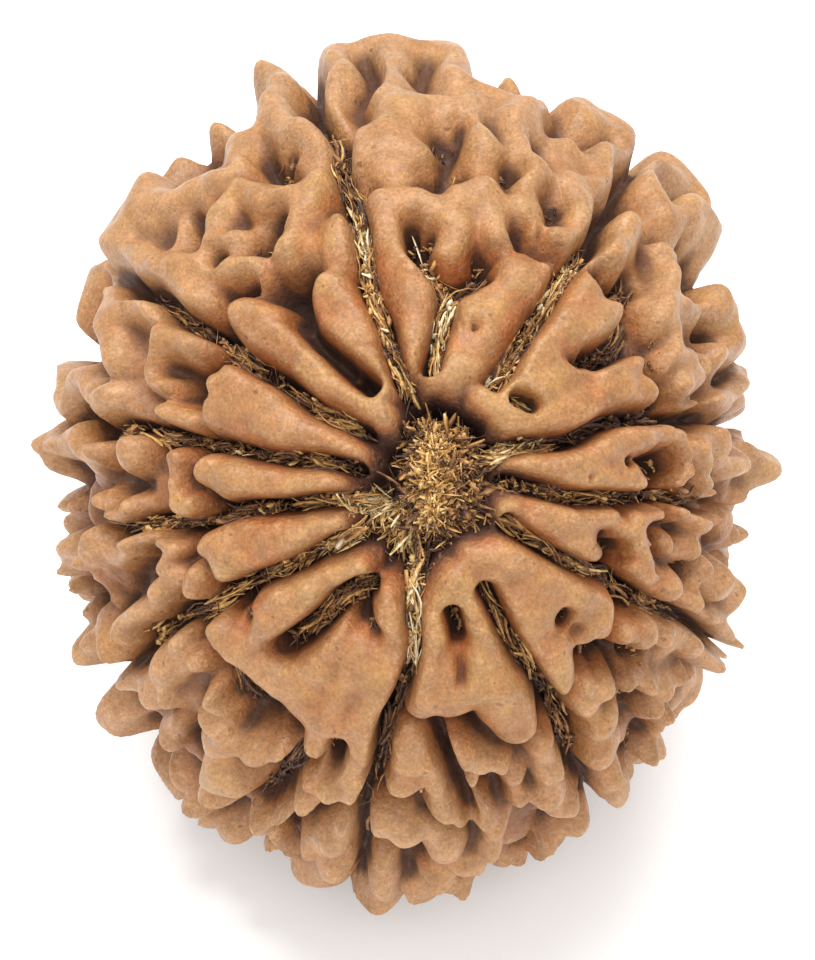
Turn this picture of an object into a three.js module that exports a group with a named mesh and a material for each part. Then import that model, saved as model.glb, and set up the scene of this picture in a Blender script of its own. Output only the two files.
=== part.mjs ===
// Rudraksha seed: the hard, warty stone of a many-faced rudraksha fruit, as one closed solid.
// Millimetres, +Z up. The seed lies on a small flat spot with its fibrous pole tipped up towards -Y.
// The origin is under the middle of the seed's box, on the surface that it rests on.
//
// The seed has its own frame too: x to the right, y away over the top, z out through the fibrous pole.
// A place on its surface is a bearing round the pole (0 along x, 90 along y) and an angle down from the
// pole (90 at the equator), both in degrees. The surface is a smooth egg with heights added to it.

import * as THREE from 'three';
import { mergeVertices } from 'three/addons/utils/BufferGeometryUtils.js';

// Driving dimensions of the egg that the tops of the lobes reach.
const HALF_WIDTH = 11.4;
const HALF_LENGTH = 13.85;
const HALF_DEPTH = 12.8;
const POLE_OFFSET = [1.16, -0.2];

// How the seed lies: the pole's tip-up, the egg's centre over the origin, and its height on the flat spot.
const TIP_UP = 50;
const CENTRE = [0.787, -0.024];
const CENTRE_HEIGHT = 12.5;
const FLAT_MARGIN = 0.06;

// Relief: depth of the core under the lobes' tops, the lobes' roundness and the steepness of their sides.
const CORE_DEPTH = 2.5;
const ROUNDNESS = 0.9;
const SLIMMING = { start: 36, stop: 44, width: 0.14 };
const SHOULDER = 0.95;
const WALL_SLOPE = 2.6;
const BLEND = 6;
const GROOVE_DEPTH = 1.8;
const GROOVE_HALF_WIDTH = 0.15;
const CUT_SLOPE = 3.4;
const PIT_DEPTH = 1.7;

// Outside the ring the core lies higher and swells. The heights are along the pole's line, as shares of it.
const CORE_RISE = { start: 0.8, stop: 0.66, height: 1.25, swell: 0.3, size: 2.7 };
const CORE_FALL = { start: 0.4, stop: 0.05, share: 0.4 };

// Grooves are shallower where the seed is widest: the angle of that, its spread and the share lost there.
const GROOVE_RISE = { angle: 85, spread: 18, share: 0.4 };

// Unevenness: how far the lobes wander sideways, near the pole and far from it, and how knobby
// the far ones are.
const WANDER = { size: 3.1, near: 0.08, far: 0.38 };
const KNOBBINESS = { size: 2.3, height: 0.17 };
const WAVE_COUNT = 12;
const FAR_START = 0.7;

// Mesh: edge divisions of the icosahedron, and rounds of evening out the triangles.
const DIVISIONS = 22;
const EVENING_ROUNDS = 10;
const EVENING_STEP = 0.5;
const SOFTENING = 0.4;

// Every lobe is a chain of places: [bearing, angle, half-width in mm, lift over the egg in mm].
// Lobes of the ring round the fibrous pole, counted from the right, anticlockwise.
const RING_LOBES = [
  [[86.5, 13, 0.6], [84, 13, 0.6], [80, 15, 0.7], [74.5, 20, 0.95], [72.3, 25, 1.15], [69, 30, 1],
    [66, 34, 0.95], [62.5, 36.5, 0.6]],
  [[99, 15, 0.4], [97.6, 20, 0.65], [96.8, 25, 0.98], [99, 29.5, 0.78], [100.5, 35, 0.55],
    [101.5, 39, 0.45]],
  [[86, 31, 0.45], [85.5, 35, 0.6], [84, 39, 0.8]],
  [[129.5, 11.5, 0.5], [135, 15.5, 0.5], [138.3, 20, 0.55], [138, 25, 0.72], [137.5, 30, 0.85],
    [138.5, 34.5, 0.9], [139.5, 37.5, 0.7]],
  [[119, 13.5, 0.4], [120.5, 20, 0.67], [119.5, 25, 0.85], [118.5, 29, 0.75]],
  [[162.5, 12.5, 0.4], [160.5, 20, 0.62], [160, 27, 0.95], [161, 33, 0.85], [163, 35, 0.6]],
  [[157, 27, 0.8], [153, 33, 0.6]],
  [[156, 35.5, 0.3]],
  [[183, 14.5, 0.3], [181.5, 20, 0.42], [181.5, 25, 0.65], [181.5, 30, 0.85]],
  [[181.5, 30, 0.8], [178, 35, 0.55]],
  [[203, 15.5, 0.3], [201, 22, 0.6], [200, 28, 0.9], [199, 33, 1]],
  [[199, 33, 0.9], [196, 36, 0.5]],
  [[199, 33, 0.9], [203, 34, 0.6]],
  [[230, 16, 0.35], [224.5, 20, 0.58], [221.5, 25, 0.8], [219, 29.5, 0.85], [221, 34, 0.9],
    [219.5, 38, 0.85], [215, 39.5, 0.7], [212.5, 39.5, 0.45]],
  [[222, 37.5, 0.9], [229, 37, 1], [236, 36.5, 1.1], [243, 37, 1.1], [249, 37, 1], [254, 37, 0.8]],
  [[236, 24, 0.5], [236, 28, 0.8], [237, 32, 1], [237, 36, 1]],
  [[246, 25, 0.7], [245, 30, 1], [244, 35, 1]],
  [[248.3, 16.5, 0.35], [252.5, 21, 0.5], [253.5, 26, 0.8], [254, 31, 0.85], [255.3, 36, 0.6],
    [256.5, 41, 0.5]],
  [[244, 38, 0.7], [245, 43, 0.5], [246, 47, 0.5]],
  [[254.5, 40, 0.6], [253.5, 46, 0.6]],
  [[283, 13.5, 0.5], [273.5, 17, 0.55], [269, 21, 0.6], [267.5, 26, 0.8], [267, 30, 0.85]],
  [[286, 16, 0.5], [286.5, 21, 0.6], [285.5, 26, 0.8], [286, 31, 0.95], [287.5, 36, 1.1],
    [288, 39.5, 0.95]],
  [[268, 30, 0.8], [274, 30.5, 0.8], [280, 31, 0.9], [285, 31, 0.9]],
  [[277, 26, 0.6, -0.1], [277, 30, 0.7]],
  [[297, 12, 0.45], [303, 15.5, 0.65], [305, 20, 0.75], [304.5, 25, 0.8], [303.3, 30, 0.85],
    [302.8, 35, 0.8], [302.5, 39, 0.62]],
  [[297, 12, 0.45], [310, 13.5, 0.6], [317, 18, 0.7], [318.5, 23, 0.75], [319.5, 28, 0.7], [321, 32, 0.6],
    [320.5, 36, 0.65], [318.5, 38.5, 0.5]],
  [[311, 22, 0.8], [310.5, 28, 0.7], [312, 34, 0.5], [315, 36, 0.5]],
  [[338, 12.5, 0.3], [342.5, 17, 0.55], [344, 21, 0.72], [342.5, 25, 0.85], [340, 28, 0.85],
    [336.5, 29.5, 0.6]],
  [[344, 23, 0.7], [347, 25, 0.6], [349, 29.5, 0.5], [349.5, 33, 0.5]],
  [[4, 13.5, 0.3], [3.5, 18, 0.48], [3, 23, 0.68], [2.5, 28, 0.75], [1.5, 34, 0.7], [0.5, 38.5, 0.55]],
  [[8.5, 22, 0.4], [10, 28, 0.55], [9.5, 33, 0.5], [11, 38, 0.5], [12.5, 43, 0.55], [12, 46.5, 0.45]],
  [[50, 17, 0.35], [50.5, 22, 0.6], [50, 27, 0.8], [50, 32, 0.85], [50, 37, 0.85], [51, 42, 0.7],
    [53, 47, 0.5], [54.5, 52, 0.4]],
  [[48, 33, 0.7], [46.5, 33, 0.7], [44, 38, 0.75], [42.5, 42, 0.6], [40.5, 44.5, 0.45]],
  [[62, 12.5, 0.5], [46, 13.5, 0.6], [33, 17, 0.75], [29, 23, 0.95], [28, 29, 1.05], [27.5, 34, 1.1],
    [25.5, 39, 1], [22.5, 43.5, 0.65]],
  [[33, 35, 0.6], [31.5, 39, 0.6], [29.5, 42.5, 0.4]],
  [[46, 17.5, 0.5], [42, 20.5, 0.6], [41, 26, 0.6], [36, 29, 0.6]],
];

// Knobs and winding lobes outside the ring, over the top of the seed.
const UPPER_LOBES = [
  [[102.5, 50, 0.95], [98, 49, 1.15], [93.5, 47.5, 0.85], [90.5, 47, 0.5]],
  [[98, 47, 0.9, -0.2], [97, 44, 0.9, -0.3]],
  [[96, 56, 0.8], [93, 60, 0.75], [89.8, 60.5, 0.6], [89.3, 57.5, 0.35]],
  [[98, 51, 0.9], [96, 56, 0.8]],
  [[105, 62, 0.55], [104.5, 70, 0.9, 0.4], [103, 80, 1, 0.5], [98.5, 84, 0.9, 0.5], [95.5, 78, 0.8, 0.4],
    [96, 66, 0.75, 0.1], [96, 58, 0.7]],
  [[94, 82, 0.8, 0.5], [90, 80, 0.9, 0.45], [87, 74, 0.9, 0.3], [85.5, 68, 0.7, 0.1]],
  [[92, 38, 0.8], [100, 39, 0.6]],
  [[84, 39, 0.8], [84, 40, 0.9], [80, 42, 1], [76, 36, 0.6]],
  [[113, 57, 0.6], [112.5, 66, 1, 0.1], [112.3, 75, 1.05, 0.3], [112.3, 84, 0.85, 0.4]],
  [[110.5, 58, 0.65], [110.3, 53.5, 0.6]],
  [[119.5, 71, 0.6, -0.1], [121.5, 64, 0.8, -0.1], [122, 58, 0.6, -0.1]],
  [[111.5, 47, 0.75], [114, 45, 0.85], [115.5, 42.5, 0.7]],
  [[111, 36.5, 0.75], [113, 33.5, 0.7]],
  [[113, 36, 0.7, -0.1], [116, 37, 0.8, -0.2]],
  [[123.7, 54, 0.55], [123, 50, 0.65], [121, 47.5, 0.5]],
  [[118, 46, 0.5], [120, 40, 0.5], [124, 38, 0.5]],
  [[127, 54, 0.6], [131, 53.5, 0.55], [133.5, 50.5, 0.45]],
  [[130, 47, 0.5, -0.3]],
  [[136, 72, 1.1, 0.3], [139.5, 80, 1.1, 0.4], [142, 74, 1, 0.3]],
  [[136, 72, 0.9, 0.3], [133.5, 66, 0.8, 0.2], [131, 63, 0.6, 0.1], [128, 62, 0.5], [125.5, 58, 0.5]],
  [[142, 74, 0.9, 0.3], [144.5, 72, 0.8, 0.2], [144, 61, 0.85], [142.5, 53, 0.85], [142.5, 45, 0.7]],
  [[142, 52, 0.6], [139.5, 52, 0.6], [136.5, 46.5, 0.5], [133, 42.5, 0.55], [131, 40, 0.6]],
  [[51.8, 59.5, 0.55], [51.3, 54.5, 0.6], [50.8, 49.5, 0.6], [50.5, 45.5, 0.5]],
  [[45.5, 63, 0.45], [43, 67, 0.55], [41.5, 62, 0.6]],
  [[50, 70, 0.6, 0.3], [54.5, 76, 0.7, 0.6], [56, 84, 0.75, 1.1], [52.5, 90, 0.8, 1.25],
    [48, 90, 0.8, 1.25], [44.5, 86, 0.75, 1.1], [45.5, 76, 0.6, 0.8], [50, 70, 0.6, 0.3]],
  [[43, 78, 0.6, 0.6], [40.5, 84, 0.65, 0.5], [37.5, 80, 0.6, 0.2]],
  [[85, 59, 0.6], [83.5, 55, 0.75], [82, 50.5, 0.6]],
  [[76, 72, 0.8, -0.1], [76, 64, 1], [75, 56, 0.8], [72.5, 53, 0.8]],
  [[85.5, 68, 0.7, 0.1], [80, 67, 0.7, -0.1], [76, 68, 0.8]],
  [[69.5, 76, 0.8, 0.3], [66.5, 84, 0.75, 0.5]],
  [[63.5, 80, 0.6, 0.5], [61.5, 84, 0.7, 0.7], [60.5, 72, 0.6, 0.3], [61, 64, 0.65, 0.1], [63, 58, 0.7],
    [66, 55.5, 0.6]],
  [[67, 66, 0.9, -0.5], [67, 58, 0.9, -0.4]],
  [[71, 44.5, 0.9], [73.5, 48, 0.6], [72.5, 53, 0.7]],
  [[66, 55.5, 0.6], [61.5, 53, 0.8], [60.3, 47, 0.75], [61.5, 42.5, 0.65], [65, 41, 0.7]],
];

// Small knobs on the left side.
const LEFT_LOBES = [
  [[148, 88, 0.4], [147.8, 78, 0.4]],
  [[150.5, 72, 0.45], [151, 63, 0.6], [150.5, 56, 0.5]],
  [[153.5, 66, 0.7], [156.5, 62, 0.6], [159.5, 60, 0.6]],
  [[151.5, 51.5, 0.45], [152, 47, 0.75], [151.5, 42, 0.6]],
  [[154, 49, 0.6], [158, 49.5, 0.45]],
  [[160.5, 48.5, 0.35], [161, 44.5, 0.35]],
  [[167.3, 88, 0.65, 0.25], [165.5, 74, 0.75], [164.5, 64, 0.7]],
  [[165.8, 59, 0.72]],
  [[173.7, 88, 0.6, 0.7], [173.5, 78, 0.62, 0.3], [174, 68, 0.62], [174.5, 62, 0.6]],
  [[175, 51.5, 0.75]],
  [[165.8, 43.5, 0.45], [166, 39, 0.42]],
  [[176.3, 41, 0.48], [180.5, 41.3, 0.33], [184.5, 41, 0.42], [186, 38.5, 0.42]],
  [[186, 66, 0.45, -0.2], [184, 60, 0.5, -0.1], [184, 52, 0.4, -0.2]],
  [[185.5, 57, 0.22, 0.1], [185.3, 52, 0.25, 0.1]],
  [[193, 84, 0.55, 0.1], [192.5, 72, 0.6], [191.7, 63, 0.5], [191.5, 54, 0.5], [191.3, 48.5, 0.45]],
  [[192.8, 44.5, 0.42], [194.5, 42.5, 0.45], [198, 44.5, 0.4]],
  [[204.3, 41.5, 0.42], [201.5, 39.5, 0.38]],
  [[200.3, 43.5, 0.5], [202, 48, 0.5], [203.5, 55, 0.5], [204.8, 61, 0.5]],
  [[206.3, 88, 0.62, 0.4], [205.8, 78, 0.65, 0.2], [205.8, 68, 0.6], [206, 62, 0.45, -0.1]],
  [[201, 67, 0.3, -0.5], [197, 70, 0.5, -0.5]],
];

// Knobs and winding lobes below the pole.
const LOWER_LOBES = [
  [[212.7, 69, 0.7, 0.1], [215.5, 63, 0.9], [215, 56, 0.8], [212, 50, 0.55]],
  [[216.5, 53, 0.6], [217.3, 48, 0.48]],
  [[218.5, 59, 0.5]],
  [[216.5, 88, 0.9, 0.45], [218.5, 86, 0.85, 0.2]],
  [[222.5, 63, 0.5, -0.4], [224, 68, 0.5, -0.4]],
  [[224.5, 48, 0.45], [227.5, 52, 0.7], [231, 57, 0.95], [234.5, 62, 1, 0.1], [236.5, 68, 0.85, 0.2]],
  [[232, 54, 0.9], [236.5, 51, 0.85], [240.5, 47.5, 0.6]],
  [[235, 92, 0.95, 0.55], [232.5, 88, 0.8, 0.3], [229, 82, 0.5, -0.2]],
  [[247.5, 50, 0.5], [251, 49.5, 0.65], [255, 49, 0.6], [256.5, 46.5, 0.45]],
  [[251, 50, 0.6], [248.5, 55, 0.65], [246, 62, 0.6], [243.5, 67, 0.55, 0.05]],
  [[256.5, 57, 0.5], [255, 62, 0.8], [254.3, 70, 0.9, 0.1], [254.5, 82, 0.85, 0.25]],
  [[254, 64, 0.6], [250.5, 67, 0.4], [248, 70, 0.35]],
  [[247, 80, 0.5, -0.1], [248.5, 76, 0.4, -0.2]],
  [[266, 37, 0.5], [264.5, 41, 0.8], [264.3, 45.5, 0.75]],
  [[266, 41, 0.6], [269, 41, 0.55], [270.5, 47, 0.5], [271, 52, 0.55], [273.8, 54.5, 0.5]],
  [[263.5, 54.5, 0.85], [265.5, 57, 0.6]],
  [[262.8, 67, 0.75], [262, 78, 0.8, 0.1], [262, 90, 0.9, 0.35]],
  [[265.5, 57, 0.6], [271.5, 62, 0.8], [273, 68, 0.85], [271, 76, 0.8]],
  [[268, 84, 0.8, 0.1], [274, 84, 0.7]],
  [[271, 76, 0.8], [270, 84, 0.8, 0.1]],
  [[273.5, 38.5, 0.45], [275.5, 41, 0.6], [279.5, 43.5, 0.6], [282.5, 45, 0.45]],
  [[276.5, 46.5, 0.4], [276.8, 52, 0.35], [277.8, 57, 0.5], [279.5, 61, 0.55], [278.5, 66, 0.6],
    [276.5, 70, 0.5]],
  [[284.5, 50, 0.5, -0.2], [284, 56, 0.5, -0.3]],
  [[292, 46.3, 0.72], [291, 53, 0.6], [290.5, 58.5, 1], [291.5, 64, 0.85]],
  [[294.5, 54.5, 0.6]],
  [[292, 84, 0.8, 0.1], [288, 84, 0.6]],
  [[304, 45, 0.55], [306.5, 43.5, 0.4]],
  [[304, 47, 0.6], [305, 53, 0.85], [302.5, 60, 0.85], [300.5, 70, 0.75, 0.1], [299, 82, 0.65, 0.1]],
  [[309, 47, 0.6, -0.1]],
];

// Knobs on the right side.
const RIGHT_LOBES = [
  [[320.5, 44.5, 0.5], [323, 49.5, 0.75], [325.5, 56, 0.75], [327, 66, 0.65, 0.1], [328.3, 80, 0.55, 0.5],
    [328.8, 90, 0.45, 0.7]],
  [[313, 52, 0.35], [315.5, 59, 0.45, -0.1], [318.5, 64, 0.5, -0.1], [321, 68, 0.4, -0.1]],
  [[320, 74, 0.35, -0.1]],
  [[315, 66, 0.5, -0.1], [312.5, 76, 0.6], [309.5, 86, 0.75, 0.2], [306, 84, 0.7, 0.2]],
  [[332.5, 40.5, 0.5], [335, 45, 0.75], [335.5, 52, 0.8], [334.5, 60, 0.7], [334, 70, 0.6, 0.1],
    [333, 82, 0.65, 0.5], [334.5, 90, 0.6, 0.9]],
  [[336, 61, 0.6], [343, 62, 0.5], [341, 70, 0.7, 0.2], [339, 80, 0.75, 0.5]],
  [[351, 43.5, 0.6], [349.5, 40, 0.5]],
  [[353.5, 51, 0.6], [353, 58, 0.75], [353.5, 64, 0.6, -0.05]],
  [[357, 55, 0.4, -0.2], [356.5, 64, 0.5, -0.3]],
  [[344, 50, 0.6, -0.3], [345.5, 57, 0.7, -0.4]],
  [[345.5, 36, 0.4], [345, 40, 0.45], [343.5, 43.5, 0.3]],
  [[340.5, 38.5, 0.45], [337.5, 42.5, 0.5], [336, 46.5, 0.5]],
  [[11, 49, 0.4], [6.5, 51.3, 0.4], [2.5, 52, 0.4], [358.5, 49.5, 0.35]],
  [[8, 54, 0.4], [3.5, 59, 0.45], [0.5, 60.5, 0.35]],
  [[7, 58, 0.5], [5, 66, 0.65], [3, 78, 0.7, 0.3], [2.3, 90, 0.6, 0.9]],
  [[15, 52.5, 0.3], [15.2, 58, 0.3]],
  [[14.5, 68, 0.45], [16.5, 78, 0.55, 0.1], [17, 89, 0.55, 0.4]],
  [[27, 53.5, 0.45], [25.5, 58, 0.4]],
  [[21.5, 54.5, 0.6], [22, 60, 0.65], [23.5, 64.5, 0.5]],
  [[24.5, 70, 0.6, 0.1], [24.5, 80, 0.75, 0.3], [23.5, 88, 0.7, 0.8]],
  [[32, 68, 0.5, 0.1], [30.5, 78, 0.6, 0.4], [28.5, 86, 0.65, 0.6]],
  [[35, 53, 0.6], [38, 57, 0.75], [40.5, 61, 0.6]],
  [[38, 57, 0.6], [34.5, 62, 0.5], [32, 68, 0.5]],
  [[33, 57, 0.45], [30, 55, 0.4], [27, 51, 0.45]],
];

// The rough fibre plug in the near pole, and the broad worn lobe that the seed rests on.
const PLUG = [[75, 3.8, 1.4, -1.05], [285, 3.8, 1.4, -1.05]];
const RESTING_LOBE = [[262, 139.5, 3.3, 0.6], [278, 139.5, 3.3, 0.6]];

// Deep grooves of the near half as places along each one. All of them run on to the far pole.
// A third number is the share of the full depth, where it isn't worked out from the angle.
const GROOVES = [
  [[22, 11], [18.5, 20], [17.8, 30], [17.3, 40], [17, 48], [14, 56], [11, 70], [11, 90]],
  [[60, 16], [57.5, 20], [57.5, 40], [57, 60], [57.5, 75], [58.5, 90]],
  [[107, 12], [110, 20], [108.5, 30], [106.5, 36], [106, 42], [107.5, 48], [106.5, 55], [107, 60, 1],
    [108, 70, 1], [108, 90, 1]],
  [[146, 12], [149, 20], [148.5, 30], [147.5, 38], [147.3, 50], [147.5, 60], [147, 75], [145.5, 90]],
  [[172, 12], [170.5, 20], [171.5, 30], [171, 48], [170.7, 60], [170, 75], [170.5, 90]],
  [[193, 12], [189.7, 20], [190, 30], [190.3, 40], [189, 48], [188.5, 60], [189, 75], [188.5, 90]],
  [[212, 16], [211, 20], [209.5, 30], [208.5, 36], [209.5, 42], [208.5, 50], [209.5, 60], [209.5, 72],
    [211, 90]],
  [[257, 11], [259.5, 18], [262, 23], [261.5, 30], [259.5, 38], [259, 48], [258.8, 58], [258.5, 70],
    [258.5, 90]],
  [[293, 17], [294, 21], [296, 29], [297, 36], [298.5, 42], [297, 48], [296.5, 56], [296, 68],
    [295.5, 90]],
  [[331, 13], [329.5, 19], [328.3, 26], [328.5, 32], [330, 37], [329, 42], [329.3, 50], [330.5, 60],
    [331, 75], [331.5, 90]],
  [[357, 12], [353.5, 17], [353, 25], [354.5, 35], [356, 43], [356, 48], [355.5, 60], [354.5, 75],
    [354, 90]],
];

// Shorter furrows and slots: [[places], half-width in mm, depth in mm].
const FURROWS = [
  [[[91.5, 14.5], [89.5, 18], [87.5, 22.7], [86, 25.5], [91, 28.5], [94.5, 31.5], [95.5, 35]], 0.2, 2],
  [[[86, 25.5], [82, 27], [77.5, 30]], 0.2, 1.9],
  [[[123, 14.5], [127, 19], [129.5, 25], [130.5, 30], [128, 32.5]], 0.2, 2],
  [[[238, 17.5], [232.5, 21.5], [230.8, 25.5], [229.5, 29], [228.5, 33]], 0.3, 2],
  [[[86.5, 57], [88, 50], [88.5, 45], [90.5, 41]], 0.15, 1.7],
  [[[270.5, 35.5], [271.7, 40], [273.3, 44.5], [274.2, 49], [275.3, 53.5]], 0.2, 1.8],
  [[[45, 17.5], [38.5, 19.5]], 0.18, 1.6],
  [[[279, 23], [278.5, 29]], 0.15, 0.5],
  [[[38.5, 34], [37, 39], [36, 43.5], [39, 47], [42, 49.5], [44.5, 51]], 0.35, 1.9],
  [[[50.5, 44.5], [47.5, 45.8], [44.5, 51], [46, 54.5]], 0.35, 1.9],
  [[[27.5, 46.5], [24, 47.5], [20.5, 50]], 0.32, 1.8],
  [[[217, 43.5], [222.5, 44], [226, 46.5], [230.8, 46], [234, 45.3]], 0.3, 1.8],
  [[[245, 46], [243, 53], [242, 59], [241.5, 64]], 0.35, 1.8],
  [[[252, 55.5], [248, 63], [246.5, 69.5]], 0.28, 1.6],
  [[[267.3, 63.5], [267.3, 72]], 0.3, 1.5],
  [[[263.7, 48.5], [266.5, 48.3]], 0.15, 1],
  [[[72.5, 61], [71.5, 56]], 0.2, 1.2],
  [[[71.5, 38.3], [66, 39], [61.5, 40]], 0.32, 1.2],
];

// Round and oval pits, with one place or a short row of places: [[places], radius in mm, depth in mm].
const PITS = [
  [[[76, 21.5]], 0.13, 0.8], [[[91.5, 33.5]], 0.3], [[[79.5, 32.5]], 0.3], [[[215.5, 34.5]], 0.35, 0.8],
  [[[246.5, 21.8]], 0.22, 1.2], [[[249.5, 40], [249.5, 45]], 0.38], [[[277.5, 18.5], [279, 22.5]], 0.28],
  [[[312.5, 31.5]], 0.3], [[[313, 34.5]], 0.4, 0.6], [[[352.5, 27]], 0.3], [[[341.3, 32.5]], 0.28],
  [[[337.5, 35.8]], 0.45], [[[1.5, 27.3]], 0.12, 0.6], [[[5, 36.5]], 0.18, 1.2],
  [[[7, 44], [3, 46.5], [358.5, 46]], 0.35], [[[39.5, 30.5]], 0.25, 1.2], [[[90, 53.5]], 0.5],
  [[[99.3, 65], [99.3, 73]], 0.3, 1.5], [[[92.5, 69.5]], 0.35, 1.3], [[[85.5, 45.5]], 0.45],
  [[[118.5, 59], [117, 55], [116.5, 51.5]], 0.4], [[[114.5, 55.5]], 0.3],
  [[[121.5, 44.5], [125, 43.5], [127.5, 42.5]], 0.38], [[[132.5, 59], [134, 56]], 0.38],
  [[[134.5, 47]], 0.3],
  [[[137, 41], [134, 39.5]], 0.3], [[[155.5, 39]], 0.5], [[[230, 42.3]], 0.3], [[[266.5, 48.3]], 0.3],
  [[[279.3, 50]], 0.55], [[[274.3, 57.5]], 0.42], [[[311, 41]], 0.35], [[[310.8, 57.5]], 0.45],
  [[[317.5, 51.5], [320, 55.5]], 0.35], [[[306.5, 79]], 0.3], [[[341, 57.5]], 0.32],
  [[[337.8, 46.8]], 0.22],
  [[[346.5, 44.5]], 0.45], [[[30.5, 69], [27.5, 73]], 0.35], [[[27.5, 60.5], [23.5, 62.5]], 0.35],
  [[[31.5, 52]], 0.4, 0.6], [[[28.5, 48.5]], 0.5, 0.5], [[[49.5, 80]], 0.35], [[[43.7, 74]], 0.3],
  [[[77.3, 49.5]], 0.4], [[[67, 61]], 0.9, 0.5], [[[63.7, 68.5]], 0.3], [[[65.8, 49.3]], 0.28],
  [[[66.3, 41.5]], 0.2, 1.2], [[[50, 9], [70, 8.5], [92, 9.5]], 0.4, 3.6], [[[120, 8.5]], 0.25, 3],
  [[[229, 7]], 0.25, 3], [[[290, 4]], 0.15, 2],
];

// The hidden half: where its grooves lie at the equator, and the rows of knobs between them.
const FAR_GROOVES = [11, 35, 58.5, 83, 108, 127, 145.5, 170.5, 188.5, 211, 234, 258.5, 277, 295.5, 313,
  331.5, 354];
const FAR_ROWS = { first: 91, step: 8.8, count: 8, firstLift: -0.3 };
const KNOB_PITCH = 2.1;
const FAR_RING = [[157, 1], [163, 0.8], [169, 0.45]];
const FAR_SCAR = { radius: 1.4, depth: 2.6 };

const radians = THREE.MathUtils.degToRad;

// A repeatable draw between 0 and 1 for a pair of counts.
function draw(first, second) {
  const value = Math.sin(first * 12.9898 + second * 78.233) * 43758.5453;
  return value - Math.floor(value);
}

// Waves of one length in repeatable directions.
function makeWaves(size, seed) {
  return Array.from({ length: WAVE_COUNT }, (_, wave) => {
    const run = new THREE.Vector3(...[1, 2, 3].map((axis) => draw(seed + wave, axis) - 0.5));
    return { run: run.setLength((2 * Math.PI) / size).toArray(), phase: 2 * Math.PI * draw(seed + wave, 4) };
  });
}

// Sum of the waves at a point, scaled to about one.
function unevenness([x, y, z], waves) {
  let sum = 0;
  for (const { run, phase } of waves) {
    sum += Math.sin(x * run[0] + y * run[1] + z * run[2] + phase);
  }
  return sum / Math.sqrt(WAVE_COUNT / 2);
}

const WANDER_WAVES = [5000, 5100, 5200].map((seed) => makeWaves(WANDER.size, seed));
const KNOB_WAVES = makeWaves(KNOBBINESS.size, 5300);
const SWELL_WAVES = makeWaves(CORE_RISE.size, 5400);

// Distance from the pole's line to the egg's equator along a bearing. The equator is an ellipse whose
// middle is off that line.
function equatorRadius(bearing) {
  const cosine = Math.cos(bearing);
  const sine = Math.sin(bearing);
  const square = (cosine / HALF_WIDTH) ** 2 + (sine / HALF_LENGTH) ** 2;
  const cross = (cosine * POLE_OFFSET[0]) / HALF_WIDTH ** 2 + (sine * POLE_OFFSET[1]) / HALF_LENGTH ** 2;
  const rest = (POLE_OFFSET[0] / HALF_WIDTH) ** 2 + (POLE_OFFSET[1] / HALF_LENGTH) ** 2 - 1;
  return (-cross + Math.sqrt(cross * cross - square * rest)) / square;
}

// The egg's radius along a unit direction from its centre.
function eggRadius(x, y, z) {
  const across = Math.hypot(x, y);
  return 1 / Math.hypot(across / equatorRadius(Math.atan2(y, x)), z / HALF_DEPTH);
}

// A place given by bearing and angle, as a point on the egg.
function placeOnEgg([bearing, angle]) {
  const across = equatorRadius(radians(bearing)) * Math.sin(radians(angle));
  const up = HALF_DEPTH * Math.cos(radians(angle));
  return [across * Math.cos(radians(bearing)), across * Math.sin(radians(bearing)), up];
}

// Share of the way from a start to a stop, kept between 0 and 1.
function progress(value, { start, stop }) {
  return Math.min(1, Math.max(0, (value - start) / (stop - start)));
}

// A chain of places with a half-width and a lift at each. Lobes outside the ring are slimmer than read off.
function chain(places) {
  return places.map((place) => ({
    at: placeOnEgg(place),
    radius: place[2] - SLIMMING.width * progress(place[1], SLIMMING),
    lift: place[3] ?? 0,
  }));
}

// Knobs of the hidden half: rows between neighbouring grooves, each knob a short crooked lobe.
function farLobes() {
  const lobes = [];
  FAR_GROOVES.forEach((start, sector) => {
    const next = FAR_GROOVES[(sector + 1) % FAR_GROOVES.length];
    const width = (next - start + 360) % 360;
    for (let row = 0; row < FAR_ROWS.count; row += 1) {
      const angle = FAR_ROWS.first + row * FAR_ROWS.step;
      const length = HALF_WIDTH * Math.sin(radians(angle)) * radians(width);
      const count = Math.max(1, Math.round(length / KNOB_PITCH));
      for (let knob = 0; knob < count; knob += 1) {
        const seed = sector * 100 + row * 10 + knob;
        const bearing = start + (width * (knob + 0.5 + 0.3 * (draw(seed, 1) - 0.5))) / count;
        const tilt = angle + 4 * (draw(seed, 2) - 0.5);
        const sideways = (width / count) * 0.6 * (draw(seed, 3) - 0.5);
        const half = 0.7 + 0.35 * draw(seed, 4);
        lobes.push([
          [bearing, tilt, half, 0.2 * draw(seed, 5) + (row === 0 ? FAR_ROWS.firstLift : 0)],
          [bearing + sideways, tilt + 6 * (draw(seed, 6) - 0.3), half * 0.75],
        ]);
      }
    }
    const middle = start + width / 2;
    lobes.push(FAR_RING.map(([angle, half]) => [middle, angle, half, -0.1]));
  });
  return lobes;
}

const LOBES = [...RING_LOBES, ...UPPER_LOBES, ...LEFT_LOBES, ...LOWER_LOBES, ...RIGHT_LOBES, ...farLobes(),
  PLUG].map(chain);
const RESTING_LINE = chain(RESTING_LOBE);

// A groove's line, with its floor as the lift at each place.
function grooveLine(places, depth) {
  return chain(places).map((place, index) => {
    const [, angle, share] = places[index];
    const rise = GROOVE_RISE.share * Math.exp(-(((angle - GROOVE_RISE.angle) / GROOVE_RISE.spread) ** 2));
    return { ...place, lift: -depth * (share ?? 1 - rise) };
  });
}

// A furrow's or a pit's line, with the same floor all along.
function levelLine(places, depth) {
  return chain(places).map((place) => ({ ...place, lift: -depth }));
}

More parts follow.
